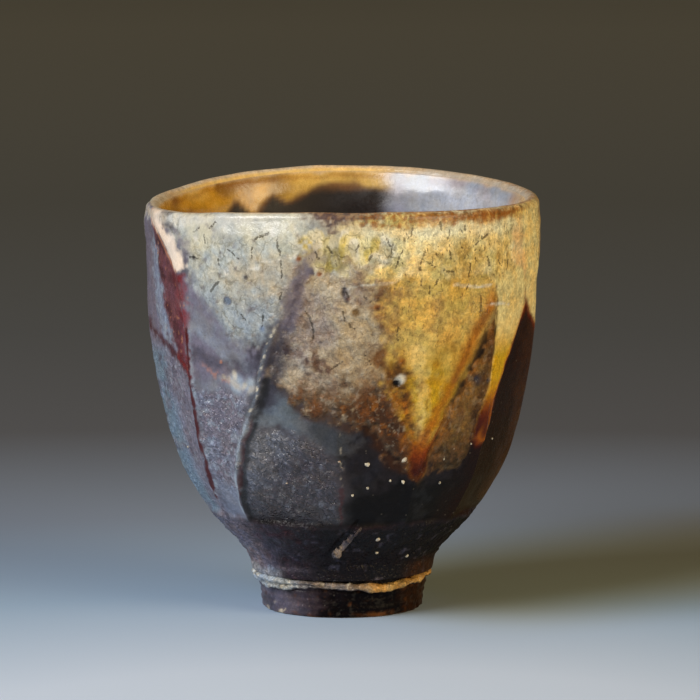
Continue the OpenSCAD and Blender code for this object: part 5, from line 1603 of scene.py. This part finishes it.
def along(direction):
    return n.put("ShaderNodeVectorMath", {0: position, 1: direction},
                 operation="DOT_PRODUCT").outputs["Value"]


# Painted shadow tint: the floor is painted browner in a strip where the key lamp's shadow falls, to warm that
# shadow
lengthwise, sideways = along((0.809, 0.588, 0)), n.math("ABSOLUTE", along((-0.588, 0.809, 0)))
warm = n.times(n.between(lengthwise, -0.01, 0.03), n.between(lengthwise, 0.13, 0.24, 1.0, 0.0))
warm = n.times(warm, n.between(sideways, 0.012, 0.06, 1.0, 0.0))
paper = n.blend(warm, graded.outputs[0], n.blend(1.0, graded.outputs[0], (0.9, 0.74, 0.46, 1), "MULTIPLY"))
n.tree.links.new(paper, shader.inputs["Base Color"])
shader.inputs["Roughness"].default_value = 0.8
floor_mesh.materials.append(cloth)

world = bpy.data.worlds.new("studio")
bpy.context.scene.world = world
world.use_nodes = True
n = Nodes(world.node_tree)
background = n.find("BACKGROUND")
path = n.put("ShaderNodeLightPath")
room = (0.12, 0.093, 0.055, 1.0)
shown = opaque(rgb(70, 70, 66))
n.tree.links.new(n.blend(path.outputs["Is Camera Ray"], room, shown), background.inputs[0])


def lamp(name, turn, elevation, distance, size, watts, colour=(1, 1, 1), tall=None):
    data = bpy.data.lights.new(name, "AREA")
    data.shape = "RECTANGLE"
    data.size, data.size_y = size, tall or size
    data.energy = watts
    data.color = colour
    obj = bpy.data.objects.new(name, data)
    bpy.context.scene.collection.objects.link(obj)
    a, e = math.radians(turn), math.radians(elevation)
    out = np.array([math.sin(a) * math.cos(e), -math.cos(a) * math.cos(e), math.sin(e)])
    obj.location = out * distance + np.array([0, 0, 0.045])
    obj.rotation_mode = "QUATERNION"
    obj.rotation_quaternion = Vector(out).to_track_quat("Z", "Y")


lamp("key", -54, 32, 1.1, 0.78, 11.5, (1.0, 0.99, 0.97), 0.6)
lamp("fill", 56, 15, 1.5, 0.8, 14.0, (1.0, 0.81, 0.52))

CAMERA_AIM, CAMERA_ELEVATION, CAMERA_DISTANCE = (0.0016, 0.0, 0.0526), 8.45, 1.5
camera_data = bpy.data.cameras.new("camera")
camera_data.sensor_width, camera_data.lens = 36.0, 378.15
camera = bpy.data.objects.new("camera", camera_data)
bpy.context.scene.collection.objects.link(camera)
e = math.radians(CAMERA_ELEVATION)
camera.location = [CAMERA_AIM[0], -CAMERA_DISTANCE * math.cos(e),
                   CAMERA_AIM[2] + CAMERA_DISTANCE * math.sin(e)]
camera.rotation_euler = (math.pi / 2 - e, 0, 0)
bpy.context.scene.camera = camera
bpy.context.scene.view_settings.view_transform = "Standard"
